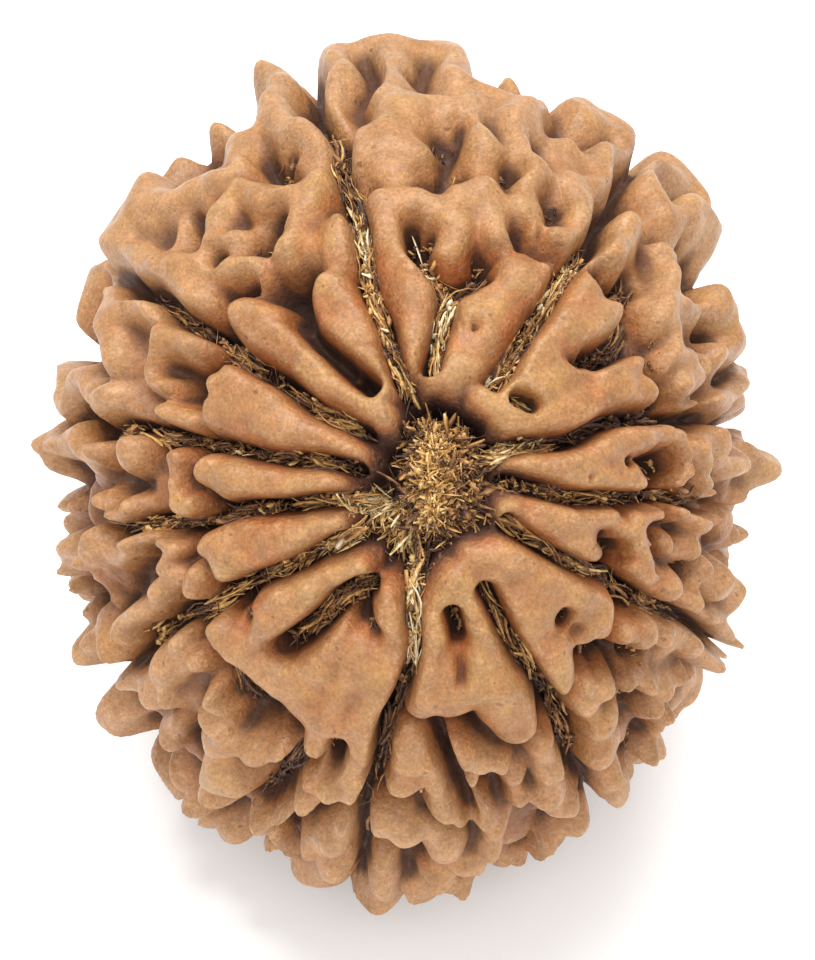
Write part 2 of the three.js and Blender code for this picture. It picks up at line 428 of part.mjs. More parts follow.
const CUTS = [
  ...GROOVES.map((places) => ({
    line: grooveLine(places, GROOVE_DEPTH),
    half: GROOVE_HALF_WIDTH,
    slope: CUT_SLOPE,
  })),
  ...FAR_GROOVES.map((bearing) => ({
    line: grooveLine([90, 100, 110, 130, 150, 168].map((angle) => [bearing, angle]), GROOVE_DEPTH),
    half: GROOVE_HALF_WIDTH,
    slope: CUT_SLOPE,
  })),
  ...FURROWS.map(([places, half, depth]) => ({ line: levelLine(places, depth), half, slope: CUT_SLOPE })),
  ...PITS.map(([places, radius, depth = PIT_DEPTH]) => ({
    line: levelLine(places, depth),
    half: radius * 0.5,
    slope: depth / (radius * 0.6),
  })),
  { line: levelLine([[0, 180]], FAR_SCAR.depth), half: FAR_SCAR.radius * 0.5, slope: WALL_SLOPE },
];

// Distance across the surface from a point of the egg to each stretch of a chain, handed on with the
// chain's places there.
function nearest(point, direction, line, onNear) {
  const last = Math.max(1, line.length - 1);
  for (let index = 0; index < last; index += 1) {
    const from = line[index];
    const to = line[Math.min(index + 1, line.length - 1)];
    const run = [to.at[0] - from.at[0], to.at[1] - from.at[1], to.at[2] - from.at[2]];
    const away = [point[0] - from.at[0], point[1] - from.at[1], point[2] - from.at[2]];
    const square = run[0] ** 2 + run[1] ** 2 + run[2] ** 2;
    const dot = away[0] * run[0] + away[1] * run[1] + away[2] * run[2];
    const share = square > 0 ? Math.min(1, Math.max(0, dot / square)) : 0;
    const gap = [away[0] - share * run[0], away[1] - share * run[1], away[2] - share * run[2]];
    const reach = gap[0] ** 2 + gap[1] ** 2 + gap[2] ** 2;
    if (reach < 36) {
      const outward = gap[0] * direction[0] + gap[1] * direction[1] + gap[2] * direction[2];
      const across = Math.sqrt(Math.max(0, reach - outward * outward));
      onNear(across, from, to, share);
    }
  }
}

// Height of one lobe over the egg: a rounded top with steep sides.
function lobeHeight(point, direction, line) {
  let height = -CORE_DEPTH - 10;
  nearest(point, direction, line, (across, from, to, share) => {
    const radius = from.radius + share * (to.radius - from.radius);
    const lift = from.lift + share * (to.lift - from.lift);
    const inner = Math.min(across / radius, SHOULDER);
    const top = lift - ROUNDNESS * radius * (1 - Math.sqrt(1 - inner * inner));
    height = Math.max(height, top - WALL_SLOPE * Math.max(0, across - SHOULDER * radius));
  });
  return height;
}

// Highest height that a groove, furrow or pit leaves at a point.
function cutHeight(point, direction, cut) {
  let height = 20;
  nearest(point, direction, cut.line, (across, from, to, share) => {
    const floor = from.lift + share * (to.lift - from.lift);
    height = Math.min(height, floor + cut.slope * Math.max(0, across - cut.half));
  });
  return height;
}

// The direction whose relief shows at a direction: a little to its side, so that no lobe runs dead straight.
function wandered(direction, far) {
  const egg = eggRadius(...direction);
  const step = WANDER.near + (WANDER.far - WANDER.near) * far;
  const point = direction.map((value) => value * egg);
  const moved = point.map((value, axis) => value + step * unevenness(point, WANDER_WAVES[axis]));
  return new THREE.Vector3(...moved).normalize().toArray();
}

// Radius of the seed along a unit direction: the egg, the lobes blended, the cuts, and the flat spot.
function seedRadius(place) {
  const egg = eggRadius(...place);
  const far = Math.min(1, Math.max(0, (FAR_START - place[2]) / FAR_START));
  const direction = wandered(place, far);
  const below = eggRadius(...direction);
  const point = direction.map((value) => value * below);
  const outer = progress(place[2], CORE_RISE) * (1 - CORE_FALL.share * progress(place[2], CORE_FALL));
  const swell = CORE_RISE.height + CORE_RISE.swell * unevenness(point, SWELL_WAVES);
  let sum = Math.exp(BLEND * (outer * swell - CORE_DEPTH));
  for (const line of LOBES) {
    sum += Math.exp(BLEND * lobeHeight(point, direction, line));
  }
  let height = Math.log(sum) / BLEND + KNOBBINESS.height * far * unevenness(point, KNOB_WAVES);
  for (const cut of CUTS) {
    const limit = cutHeight(point, direction, cut);
    if (limit < height + 1) {
      height = -Math.log(Math.exp(-BLEND * height) + Math.exp(-BLEND * limit)) / BLEND;
    }
  }
  height = Math.max(height, lobeHeight(point, direction, RESTING_LINE));
  const down = -place[1] * Math.cos(radians(TIP_UP)) - place[2] * Math.sin(radians(TIP_UP));
  const floor = down > 0 ? CENTRE_HEIGHT / down : Infinity;
  return Math.min(egg + height, floor);
}

// Neighbours of each vertex of a triangle mesh.
function neighbourLists(index, count) {
  const lists = Array.from({ length: count }, () => new Set());
  for (let corner = 0; corner < index.length; corner += 3) {
    const [a, b, c] = [index[corner], index[corner + 1], index[corner + 2]];
    lists[a].add(b).add(c);
    lists[b].add(c).add(a);
    lists[c].add(a).add(b);
  }
  return lists.map((list) => [...list]);
}

// Slides the vertices over the seed towards the middle of their neighbours, so that steep sides get
// triangles too.
function evenOut(directions, neighbours) {
  let current = directions;
  for (let round = 0; round < EVENING_ROUNDS; round += 1) {
    const radii = current.map((direction) => seedRadius(direction.toArray()));
    const points = current.map((direction, vertex) => direction.clone().multiplyScalar(radii[vertex]));
    current = points.map((point, vertex) => {
      const middle = new THREE.Vector3();
      neighbours[vertex].forEach((other) => middle.add(points[other]));
      middle.divideScalar(neighbours[vertex].length);
      return point.clone().lerp(middle, EVENING_STEP).normalize();
    });
  }
  return current;
}

// Softens the facets: each radius goes part of the way to the mean radius of its neighbours.
function softenedRadii(directions, neighbours) {
  const radii = directions.map((direction) => seedRadius(direction.toArray()));
  return radii.map((radius, vertex) => {
    const mean = neighbours[vertex].reduce((sum, other) => sum + radii[other], 0) / neighbours[vertex].length;
    return radius + SOFTENING * (mean - radius);
  });
}

// The seed as one closed mesh, tipped as it lies.
function seedGeometry() {
  const sphere = new THREE.IcosahedronGeometry(1, DIVISIONS);
  sphere.deleteAttribute('normal');
  sphere.deleteAttribute('uv');
  const geometry = mergeVertices(sphere, 1e-5);
  const position = geometry.getAttribute('position');
  const start = [];
  for (let vertex = 0; vertex < position.count; vertex += 1) {
    start.push(new THREE.Vector3().fromBufferAttribute(position, vertex).normalize());
  }
  const neighbours = neighbourLists(geometry.index.array, position.count);
  const directions = evenOut(start, neighbours);
  const radii = softenedRadii(directions, neighbours);
  const sine = Math.sin(radians(TIP_UP));
  const cosine = Math.cos(radians(TIP_UP));
  directions.forEach((direction, vertex) => {
    const { x, y, z } = direction.clone().multiplyScalar(radii[vertex]);
    const height = y * cosine + z * sine + CENTRE_HEIGHT;
    const level = height < FLAT_MARGIN ? 0 : height;
    position.setXYZ(vertex, x + CENTRE[0], y * sine - z * cosine + CENTRE[1], level);
  });
  geometry.computeVertexNormals();
  return geometry;
}

const shell = new THREE.MeshStandardMaterial({ color: 0xb97f57, roughness: 0.55, metalness: 0 });
const seed = new THREE.Mesh(seedGeometry(), shell);
seed.name = 'seed';

const group = new THREE.Group();
group.add(seed);

export default group;
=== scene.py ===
# %% [markdown]
# # A rudraksha seed
# This lesson dresses the hard, warty seed of the rudraksha tree. The solid model gives its place and size.
# Here the same surface is worked out again with far more points, and it gets its colour, its gloss and the
# dry fibre that stays behind in the grooves when a seed is cleaned.

# %% Load the frame
import math

import bpy
import numpy as np
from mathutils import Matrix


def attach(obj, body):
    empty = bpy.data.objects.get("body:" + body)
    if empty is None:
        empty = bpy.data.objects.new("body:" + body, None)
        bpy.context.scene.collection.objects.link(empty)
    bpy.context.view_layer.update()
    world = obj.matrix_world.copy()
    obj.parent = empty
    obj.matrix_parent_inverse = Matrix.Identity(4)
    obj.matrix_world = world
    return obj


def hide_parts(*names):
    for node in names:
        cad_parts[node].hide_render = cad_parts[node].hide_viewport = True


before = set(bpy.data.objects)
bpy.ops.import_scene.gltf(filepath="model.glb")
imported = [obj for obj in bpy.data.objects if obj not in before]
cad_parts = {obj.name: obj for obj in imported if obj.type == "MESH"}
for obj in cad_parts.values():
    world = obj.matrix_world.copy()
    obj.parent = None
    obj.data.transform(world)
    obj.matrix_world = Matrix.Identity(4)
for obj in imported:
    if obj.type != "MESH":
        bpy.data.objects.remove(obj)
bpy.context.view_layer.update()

# %% [markdown]
# ## How the seed lies
# The seed rests on its worn spot with the fibrous pole tipped up. It is easiest to describe in a frame of its
# own, with z out through the pole, x to the right and y away over the top. One turn about X and one shift
# bring every point into the model's frame. Sizes are in millimetres until a mesh is made.

# %% Sizes of the seed and where it lies
HALF_WIDTH = 11.4
HALF_LENGTH = 13.85
HALF_DEPTH = 12.8
POLE_OFFSET = (1.16, -0.2)
TIP_UP = math.radians(50)
CENTRE = (0.787, -0.024, 12.5)
MM = 0.001

SIDEWAYS = np.array([1.0, 0.0, 0.0])
OVER_THE_TOP = np.array([0.0, math.sin(TIP_UP), math.cos(TIP_UP)])
TO_THE_POLE = np.array([0.0, -math.cos(TIP_UP), math.sin(TIP_UP)])


def to_frame(points):
    """Points of the seed's own frame in millimetres, as places in the model's frame in metres."""
    turned = points[..., :1] * SIDEWAYS + points[..., 1:2] * OVER_THE_TOP + points[..., 2:] * TO_THE_POLE
    return (turned + np.array(CENTRE)) * MM


print("pole at", to_frame(np.array([0.0, 0.0, HALF_DEPTH])))

# %% [markdown]
# ## The camera
# A camera close above the pole sees the lobes fan out and the far ones shrink a little. It looks straight
# down the pole's line from 150 mm, so it is turned about X alone. The lens is long because the frame is only
# 29 mm high at the pole.

# %% Camera
CAMERA_DISTANCE = 150.0
FRAME_HEIGHT = 28.8
FRAME_SIDESTEP = -0.885
SENSOR = 36.0

camera_data = bpy.data.cameras.new("camera")
camera_data.sensor_width = SENSOR
camera_data.lens = SENSOR * CAMERA_DISTANCE / FRAME_HEIGHT
camera_data.clip_start = 0.001
camera = bpy.data.objects.new("camera", camera_data)
camera.location = to_frame(np.array([FRAME_SIDESTEP, 0.0, HALF_DEPTH + CAMERA_DISTANCE]))
camera.rotation_euler = (math.pi / 2 - TIP_UP, 0.0, 0.0)
bpy.context.scene.collection.objects.link(camera)
bpy.context.scene.camera = camera
print("lens", round(camera_data.lens, 1), "mm")

# %% [markdown]
# ## Floor and light
# The seed lies on a white cloth under soft daylight. A matt white plane, a pale world and two broad lamps
# give the same: a floor that burns out to white, a soft dark patch under the seed, and a weak gloss on the
# tops of the lobes. A third, small lamp adds the glints.

# %% Floor, world and lamps
FLOOR_SIZE = 0.8
FLOOR_COLOUR = (0.93, 0.93, 0.93)
FLOOR_ROUGHNESS = 0.9
FLOOR_GLOW = 0.11
WORLD_STRENGTH = 0.8
LAMPS = {
    "high": {"at": (0.01, 0.13, 0.42), "size": 0.30, "power": 1.85},
    "front": {"at": (0.02, -0.32, 0.34), "size": 0.35, "power": 0.95},
    "glint": {"at": (-0.14, 0.02, 0.40), "size": 0.05, "power": 0.4},
}


def plain_material(name, colour, roughness, glow):
    """A matt material of one colour with a faint glow, for what isn't part of the seed."""
    material = bpy.data.materials.new(name)
    material.use_nodes = True
    shader = material.node_tree.nodes["Principled BSDF"]
    shader.inputs["Base Color"].default_value = (*colour, 1.0)
    shader.inputs["Roughness"].default_value = roughness
    shader.inputs["Emission Color"].default_value = (1.0, 1.0, 1.0, 1.0)
    shader.inputs["Emission Strength"].default_value = glow
    return material


def add_floor():
    """A square plane at height zero."""
    half = FLOOR_SIZE / 2
    mesh = bpy.data.meshes.new("floor")
    corners = [(-half, -half, 0), (half, -half, 0), (half, half, 0), (-half, half, 0)]
    mesh.from_pydata(corners, [], [(0, 1, 2, 3)])
    mesh.materials.append(plain_material("floor_white", FLOOR_COLOUR, FLOOR_ROUGHNESS, FLOOR_GLOW))
    floor = bpy.data.objects.new("floor", mesh)
    bpy.context.scene.collection.objects.link(floor)


def add_lamp(name, at, size, power):
    """A square lamp that faces the seed's middle."""
    data = bpy.data.lights.new(name, "AREA")
    data.size = size
    data.energy = power
    lamp = bpy.data.objects.new(name, data)
    lamp.location = at
    middle = to_frame(np.zeros(3))
    away = [place - goal for place, goal in zip(at, middle)]
    tilt = math.atan2(math.hypot(away[0], away[1]), away[2])
    lamp.rotation_euler = (tilt, 0.0, math.atan2(away[0], -away[1]))
    bpy.context.scene.collection.objects.link(lamp)


add_floor()
for lamp_name, lamp in LAMPS.items():
    add_lamp(lamp_name, **lamp)

world = bpy.data.worlds.new("daylight")
world.use_nodes = True
sky = world.node_tree.nodes["Background"]
sky.inputs["Color"].default_value = (1.0, 1.0, 1.0, 1.0)
sky.inputs["Strength"].default_value = WORLD_STRENGTH
bpy.context.scene.world = world
bpy.context.scene.view_settings.view_transform = "Standard"
print("lamps", list(LAMPS))

# %% [markdown]
# ## Where the lobes are
# A seed's relief is a pattern that can't be had from noise: each lobe has its own place. So the lobes are
# lists of places round the pole. A place is a bearing, an angle down from the pole, the lobe's half-width in
# millimetres and, where it stands proud or lies low, a lift over the smooth egg. Chains of places make
# wedges, hooks and rings. First comes the ring of wedges round the pole.

# %% Wedges round the fibrous pole
RING_LOBES = [
    [[86.5, 13, 0.6], [84, 13, 0.6], [80, 15, 0.7], [74.5, 20, 0.95], [72.3, 25, 1.15], [69, 30, 1],
     [66, 34, 0.95], [62.5, 36.5, 0.6]],
    [[99, 15, 0.4], [97.6, 20, 0.65], [96.8, 25, 0.98], [99, 29.5, 0.78], [100.5, 35, 0.55],
     [101.5, 39, 0.45]],
    [[86, 31, 0.45], [85.5, 35, 0.6], [84, 39, 0.8]],
    [[129.5, 11.5, 0.5], [135, 15.5, 0.5], [138.3, 20, 0.55], [138, 25, 0.72], [137.5, 30, 0.85],
     [138.5, 34.5, 0.9], [139.5, 37.5, 0.7]],
    [[119, 13.5, 0.4], [120.5, 20, 0.67], [119.5, 25, 0.85], [118.5, 29, 0.75]],
    [[162.5, 12.5, 0.4], [160.5, 20, 0.62], [160, 27, 0.95], [161, 33, 0.85], [163, 35, 0.6]],
    [[157, 27, 0.8], [153, 33, 0.6]],
    [[156, 35.5, 0.3]],
    [[183, 14.5, 0.3], [181.5, 20, 0.42], [181.5, 25, 0.65], [181.5, 30, 0.85]],
    [[181.5, 30, 0.8], [178, 35, 0.55]],
    [[203, 15.5, 0.3], [201, 22, 0.6], [200, 28, 0.9], [199, 33, 1]],
    [[199, 33, 0.9], [196, 36, 0.5]],
    [[199, 33, 0.9], [203, 34, 0.6]],
    [[230, 16, 0.35], [224.5, 20, 0.58], [221.5, 25, 0.8], [219, 29.5, 0.85], [221, 34, 0.9],
     [219.5, 38, 0.85], [215, 39.5, 0.7], [212.5, 39.5, 0.45]],
    [[222, 37.5, 0.9], [229, 37, 1], [236, 36.5, 1.1], [243, 37, 1.1], [249, 37, 1], [254, 37, 0.8]],
    [[236, 24, 0.5], [236, 28, 0.8], [237, 32, 1], [237, 36, 1]],
    [[246, 25, 0.7], [245, 30, 1], [244, 35, 1]],
    [[248.3, 16.5, 0.35], [252.5, 21, 0.5], [253.5, 26, 0.8], [254, 31, 0.85], [255.3, 36, 0.6],
     [256.5, 41, 0.5]],
    [[244, 38, 0.7], [245, 43, 0.5], [246, 47, 0.5]],
    [[254.5, 40, 0.6], [253.5, 46, 0.6]],
    [[283, 13.5, 0.5], [273.5, 17, 0.55], [269, 21, 0.6], [267.5, 26, 0.8], [267, 30, 0.85]],
    [[286, 16, 0.5], [286.5, 21, 0.6], [285.5, 26, 0.8], [286, 31, 0.95], [287.5, 36, 1.1],
     [288, 39.5, 0.95]],
    [[268, 30, 0.8], [274, 30.5, 0.8], [280, 31, 0.9], [285, 31, 0.9]],
    [[277, 26, 0.6, -0.1], [277, 30, 0.7]],
    [[297, 12, 0.45], [303, 15.5, 0.65], [305, 20, 0.75], [304.5, 25, 0.8], [303.3, 30, 0.85],
     [302.8, 35, 0.8], [302.5, 39, 0.62]],
    [[297, 12, 0.45], [310, 13.5, 0.6], [317, 18, 0.7], [318.5, 23, 0.75], [319.5, 28, 0.7], [321, 32, 0.6],
     [320.5, 36, 0.65], [318.5, 38.5, 0.5]],
    [[311, 22, 0.8], [310.5, 28, 0.7], [312, 34, 0.5], [315, 36, 0.5]],
    [[338, 12.5, 0.3], [342.5, 17, 0.55], [344, 21, 0.72], [342.5, 25, 0.85], [340, 28, 0.85],
     [336.5, 29.5, 0.6]],
    [[344, 23, 0.7], [347, 25, 0.6], [349, 29.5, 0.5], [349.5, 33, 0.5]],
    [[4, 13.5, 0.3], [3.5, 18, 0.48], [3, 23, 0.68], [2.5, 28, 0.75], [1.5, 34, 0.7], [0.5, 38.5, 0.55]],
    [[8.5, 22, 0.4], [10, 28, 0.55], [9.5, 33, 0.5], [11, 38, 0.5], [12.5, 43, 0.55], [12, 46.5, 0.45]],
    [[50, 17, 0.35], [50.5, 22, 0.6], [50, 27, 0.8], [50, 32, 0.85], [50, 37, 0.85], [51, 42, 0.7],
     [53, 47, 0.5], [54.5, 52, 0.4]],
    [[48, 33, 0.7], [46.5, 33, 0.7], [44, 38, 0.75], [42.5, 42, 0.6], [40.5, 44.5, 0.45]],
    [[62, 12.5, 0.5], [46, 13.5, 0.6], [33, 17, 0.75], [29, 23, 0.95], [28, 29, 1.05], [27.5, 34, 1.1],
     [25.5, 39, 1], [22.5, 43.5, 0.65]],
    [[33, 35, 0.6], [31.5, 39, 0.6], [29.5, 42.5, 0.4]],
    [[46, 17.5, 0.5], [42, 20.5, 0.6], [41, 26, 0.6], [36, 29, 0.6]],
]
print("wedge chains", len(RING_LOBES))

# %% [markdown]
# Outside the ring the lobes wind, fork and knot. These lie over the top of the seed.

# %% Lobes over the top
UPPER_LOBES = [
    [[102.5, 50, 0.95], [98, 49, 1.15], [93.5, 47.5, 0.85], [90.5, 47, 0.5]],
    [[98, 47, 0.9, -0.2], [97, 44, 0.9, -0.3]],
    [[96, 56, 0.8], [93, 60, 0.75], [89.8, 60.5, 0.6], [89.3, 57.5, 0.35]],
    [[98, 51, 0.9], [96, 56, 0.8]],
    [[105, 62, 0.55], [104.5, 70, 0.9, 0.4], [103, 80, 1, 0.5], [98.5, 84, 0.9, 0.5], [95.5, 78, 0.8, 0.4],
     [96, 66, 0.75, 0.1], [96, 58, 0.7]],
    [[94, 82, 0.8, 0.5], [90, 80, 0.9, 0.45], [87, 74, 0.9, 0.3], [85.5, 68, 0.7, 0.1]],
    [[92, 38, 0.8], [100, 39, 0.6]],
    [[84, 39, 0.8], [84, 40, 0.9], [80, 42, 1], [76, 36, 0.6]],
    [[113, 57, 0.6], [112.5, 66, 1, 0.1], [112.3, 75, 1.05, 0.3], [112.3, 84, 0.85, 0.4]],
    [[110.5, 58, 0.65], [110.3, 53.5, 0.6]],
    [[119.5, 71, 0.6, -0.1], [121.5, 64, 0.8, -0.1], [122, 58, 0.6, -0.1]],
    [[111.5, 47, 0.75], [114, 45, 0.85], [115.5, 42.5, 0.7]],
    [[111, 36.5, 0.75], [113, 33.5, 0.7]],
    [[113, 36, 0.7, -0.1], [116, 37, 0.8, -0.2]],
    [[123.7, 54, 0.55], [123, 50, 0.65], [121, 47.5, 0.5]],
    [[118, 46, 0.5], [120, 40, 0.5], [124, 38, 0.5]],
    [[127, 54, 0.6], [131, 53.5, 0.55], [133.5, 50.5, 0.45]],
    [[130, 47, 0.5, -0.3]],
    [[136, 72, 1.1, 0.3], [139.5, 80, 1.1, 0.4], [142, 74, 1, 0.3]],
    [[136, 72, 0.9, 0.3], [133.5, 66, 0.8, 0.2], [131, 63, 0.6, 0.1], [128, 62, 0.5], [125.5, 58, 0.5]],
    [[142, 74, 0.9, 0.3], [144.5, 72, 0.8, 0.2], [144, 61, 0.85], [142.5, 53, 0.85], [142.5, 45, 0.7]],
    [[142, 52, 0.6], [139.5, 52, 0.6], [136.5, 46.5, 0.5], [133, 42.5, 0.55], [131, 40, 0.6]],
    [[51.8, 59.5, 0.55], [51.3, 54.5, 0.6], [50.8, 49.5, 0.6], [50.5, 45.5, 0.5]],
    [[45.5, 63, 0.45], [43, 67, 0.55], [41.5, 62, 0.6]],
    [[50, 70, 0.6, 0.3], [54.5, 76, 0.7, 0.6], [56, 84, 0.75, 1.1], [52.5, 90, 0.8, 1.25],
     [48, 90, 0.8, 1.25], [44.5, 86, 0.75, 1.1], [45.5, 76, 0.6, 0.8], [50, 70, 0.6, 0.3]],
    [[43, 78, 0.6, 0.6], [40.5, 84, 0.65, 0.5], [37.5, 80, 0.6, 0.2]],
    [[85, 59, 0.6], [83.5, 55, 0.75], [82, 50.5, 0.6]],
    [[76, 72, 0.8, -0.1], [76, 64, 1], [75, 56, 0.8], [72.5, 53, 0.8]],
    [[85.5, 68, 0.7, 0.1], [80, 67, 0.7, -0.1], [76, 68, 0.8]],
    [[69.5, 76, 0.8, 0.3], [66.5, 84, 0.75, 0.5]],
    [[63.5, 80, 0.6, 0.5], [61.5, 84, 0.7, 0.7], [60.5, 72, 0.6, 0.3], [61, 64, 0.65, 0.1], [63, 58, 0.7],
     [66, 55.5, 0.6]],
    [[67, 66, 0.9, -0.5], [67, 58, 0.9, -0.4]],
    [[71, 44.5, 0.9], [73.5, 48, 0.6], [72.5, 53, 0.7]],
    [[66, 55.5, 0.6], [61.5, 53, 0.8], [60.3, 47, 0.75], [61.5, 42.5, 0.65], [65, 41, 0.7]],
]
print("upper chains", len(UPPER_LOBES))

# %% [markdown]
# On the left the faces are narrow, so the knobs are small and stand in rows.

# %% Knobs on the left
LEFT_LOBES = [
    [[148, 88, 0.4], [147.8, 78, 0.4]],
    [[150.5, 72, 0.45], [151, 63, 0.6], [150.5, 56, 0.5]],
    [[153.5, 66, 0.7], [156.5, 62, 0.6], [159.5, 60, 0.6]],
    [[151.5, 51.5, 0.45], [152, 47, 0.75], [151.5, 42, 0.6]],
    [[154, 49, 0.6], [158, 49.5, 0.45]],
    [[160.5, 48.5, 0.35], [161, 44.5, 0.35]],
    [[167.3, 88, 0.65, 0.25], [165.5, 74, 0.75], [164.5, 64, 0.7]],
    [[165.8, 59, 0.72]],
    [[173.7, 88, 0.6, 0.7], [173.5, 78, 0.62, 0.3], [174, 68, 0.62], [174.5, 62, 0.6]],
    [[175, 51.5, 0.75]],
    [[165.8, 43.5, 0.45], [166, 39, 0.42]],
    [[176.3, 41, 0.48], [180.5, 41.3, 0.33], [184.5, 41, 0.42], [186, 38.5, 0.42]],
    [[186, 66, 0.45, -0.2], [184, 60, 0.5, -0.1], [184, 52, 0.4, -0.2]],
    [[185.5, 57, 0.22, 0.1], [185.3, 52, 0.25, 0.1]],
    [[193, 84, 0.55, 0.1], [192.5, 72, 0.6], [191.7, 63, 0.5], [191.5, 54, 0.5], [191.3, 48.5, 0.45]],
    [[192.8, 44.5, 0.42], [194.5, 42.5, 0.45], [198, 44.5, 0.4]],
    [[204.3, 41.5, 0.42], [201.5, 39.5, 0.38]],
    [[200.3, 43.5, 0.5], [202, 48, 0.5], [203.5, 55, 0.5], [204.8, 61, 0.5]],
    [[206.3, 88, 0.62, 0.4], [205.8, 78, 0.65, 0.2], [205.8, 68, 0.6], [206, 62, 0.45, -0.1]],
    [[201, 67, 0.3, -0.5], [197, 70, 0.5, -0.5]],
]
print("left chains", len(LEFT_LOBES))

# %% [markdown]
# Below the pole the lobes are broad again and run out of sight towards the surface that the seed lies on.

# %% Lobes below the pole
LOWER_LOBES = [
    [[212.7, 69, 0.7, 0.1], [215.5, 63, 0.9], [215, 56, 0.8], [212, 50, 0.55]],
    [[216.5, 53, 0.6], [217.3, 48, 0.48]],
    [[218.5, 59, 0.5]],
    [[216.5, 88, 0.9, 0.45], [218.5, 86, 0.85, 0.2]],
    [[222.5, 63, 0.5, -0.4], [224, 68, 0.5, -0.4]],
    [[224.5, 48, 0.45], [227.5, 52, 0.7], [231, 57, 0.95], [234.5, 62, 1, 0.1], [236.5, 68, 0.85, 0.2]],
    [[232, 54, 0.9], [236.5, 51, 0.85], [240.5, 47.5, 0.6]],
    [[235, 92, 0.95, 0.55], [232.5, 88, 0.8, 0.3], [229, 82, 0.5, -0.2]],
    [[247.5, 50, 0.5], [251, 49.5, 0.65], [255, 49, 0.6], [256.5, 46.5, 0.45]],
    [[251, 50, 0.6], [248.5, 55, 0.65], [246, 62, 0.6], [243.5, 67, 0.55, 0.05]],
    [[256.5, 57, 0.5], [255, 62, 0.8], [254.3, 70, 0.9, 0.1], [254.5, 82, 0.85, 0.25]],
    [[254, 64, 0.6], [250.5, 67, 0.4], [248, 70, 0.35]],
    [[247, 80, 0.5, -0.1], [248.5, 76, 0.4, -0.2]],
    [[266, 37, 0.5], [264.5, 41, 0.8], [264.3, 45.5, 0.75]],
    [[266, 41, 0.6], [269, 41, 0.55], [270.5, 47, 0.5], [271, 52, 0.55], [273.8, 54.5, 0.5]],
    [[263.5, 54.5, 0.85], [265.5, 57, 0.6]],
    [[262.8, 67, 0.75], [262, 78, 0.8, 0.1], [262, 90, 0.9, 0.35]],
    [[265.5, 57, 0.6], [271.5, 62, 0.8], [273, 68, 0.85], [271, 76, 0.8]],
    [[268, 84, 0.8, 0.1], [274, 84, 0.7]],
    [[271, 76, 0.8], [270, 84, 0.8, 0.1]],
    [[273.5, 38.5, 0.45], [275.5, 41, 0.6], [279.5, 43.5, 0.6], [282.5, 45, 0.45]],
    [[276.5, 46.5, 0.4], [276.8, 52, 0.35], [277.8, 57, 0.5], [279.5, 61, 0.55], [278.5, 66, 0.6],
     [276.5, 70, 0.5]],
    [[284.5, 50, 0.5, -0.2], [284, 56, 0.5, -0.3]],
    [[292, 46.3, 0.72], [291, 53, 0.6], [290.5, 58.5, 1], [291.5, 64, 0.85]],
    [[294.5, 54.5, 0.6]],
    [[292, 84, 0.8, 0.1], [288, 84, 0.6]],
    [[304, 45, 0.55], [306.5, 43.5, 0.4]],
    [[304, 47, 0.6], [305, 53, 0.85], [302.5, 60, 0.85], [300.5, 70, 0.75, 0.1], [299, 82, 0.65, 0.1]],
    [[309, 47, 0.6, -0.1]],
]
print("lower chains", len(LOWER_LOBES))

# %% [markdown]
# On the right the rows are narrow, with long noses that make the ragged outline. Two small knobs further
# down fill a bare spot between them.

# %% Knobs on the right
RIGHT_LOBES = [
    [[320.5, 44.5, 0.5], [323, 49.5, 0.75], [325.5, 56, 0.75], [327, 66, 0.65, 0.1], [328.3, 80, 0.55, 0.5],
     [328.8, 90, 0.45, 0.7]],
    [[313, 52, 0.35], [315.5, 59, 0.45, -0.1], [318.5, 64, 0.5, -0.1], [321, 68, 0.4, -0.1]],
    [[320, 74, 0.35, -0.1]],
    [[315, 66, 0.5, -0.1], [312.5, 76, 0.6], [309.5, 86, 0.75, 0.2], [306, 84, 0.7, 0.2]],
    [[332.5, 40.5, 0.5], [335, 45, 0.75], [335.5, 52, 0.8], [334.5, 60, 0.7], [334, 70, 0.6, 0.1],
     [333, 82, 0.65, 0.5], [334.5, 90, 0.6, 0.9]],
    [[336, 61, 0.6], [343, 62, 0.5], [341, 70, 0.7, 0.2], [339, 80, 0.75, 0.5]],
    [[351, 43.5, 0.6], [349.5, 40, 0.5]],
    [[353.5, 51, 0.6], [353, 58, 0.75], [353.5, 64, 0.6, -0.05]],
    [[357, 55, 0.4, -0.2], [356.5, 64, 0.5, -0.3]],
    [[344, 50, 0.6, -0.3], [345.5, 57, 0.7, -0.4]],
    [[345.5, 36, 0.4], [345, 40, 0.45], [343.5, 43.5, 0.3]],
    [[340.5, 38.5, 0.45], [337.5, 42.5, 0.5], [336, 46.5, 0.5]],
    [[11, 49, 0.4], [6.5, 51.3, 0.4], [2.5, 52, 0.4], [358.5, 49.5, 0.35]],
    [[8, 54, 0.4], [3.5, 59, 0.45], [0.5, 60.5, 0.35]],
    [[7, 58, 0.5], [5, 66, 0.65], [3, 78, 0.7, 0.3], [2.3, 90, 0.6, 0.9]],
    [[15, 52.5, 0.3], [15.2, 58, 0.3]],
    [[14.5, 68, 0.45], [16.5, 78, 0.55, 0.1], [17, 89, 0.55, 0.4]],
    [[27, 53.5, 0.45], [25.5, 58, 0.4]],
    [[21.5, 54.5, 0.6], [22, 60, 0.65], [23.5, 64.5, 0.5]],
    [[24.5, 70, 0.6, 0.1], [24.5, 80, 0.75, 0.3], [23.5, 88, 0.7, 0.8]],
    [[32, 68, 0.5, 0.1], [30.5, 78, 0.6, 0.4], [28.5, 86, 0.65, 0.6]],
    [[35, 53, 0.6], [38, 57, 0.75], [40.5, 61, 0.6]],
    [[38, 57, 0.6], [34.5, 62, 0.5], [32, 68, 0.5]],
    [[33, 57, 0.45], [30, 55, 0.4], [27, 51, 0.45]],
]
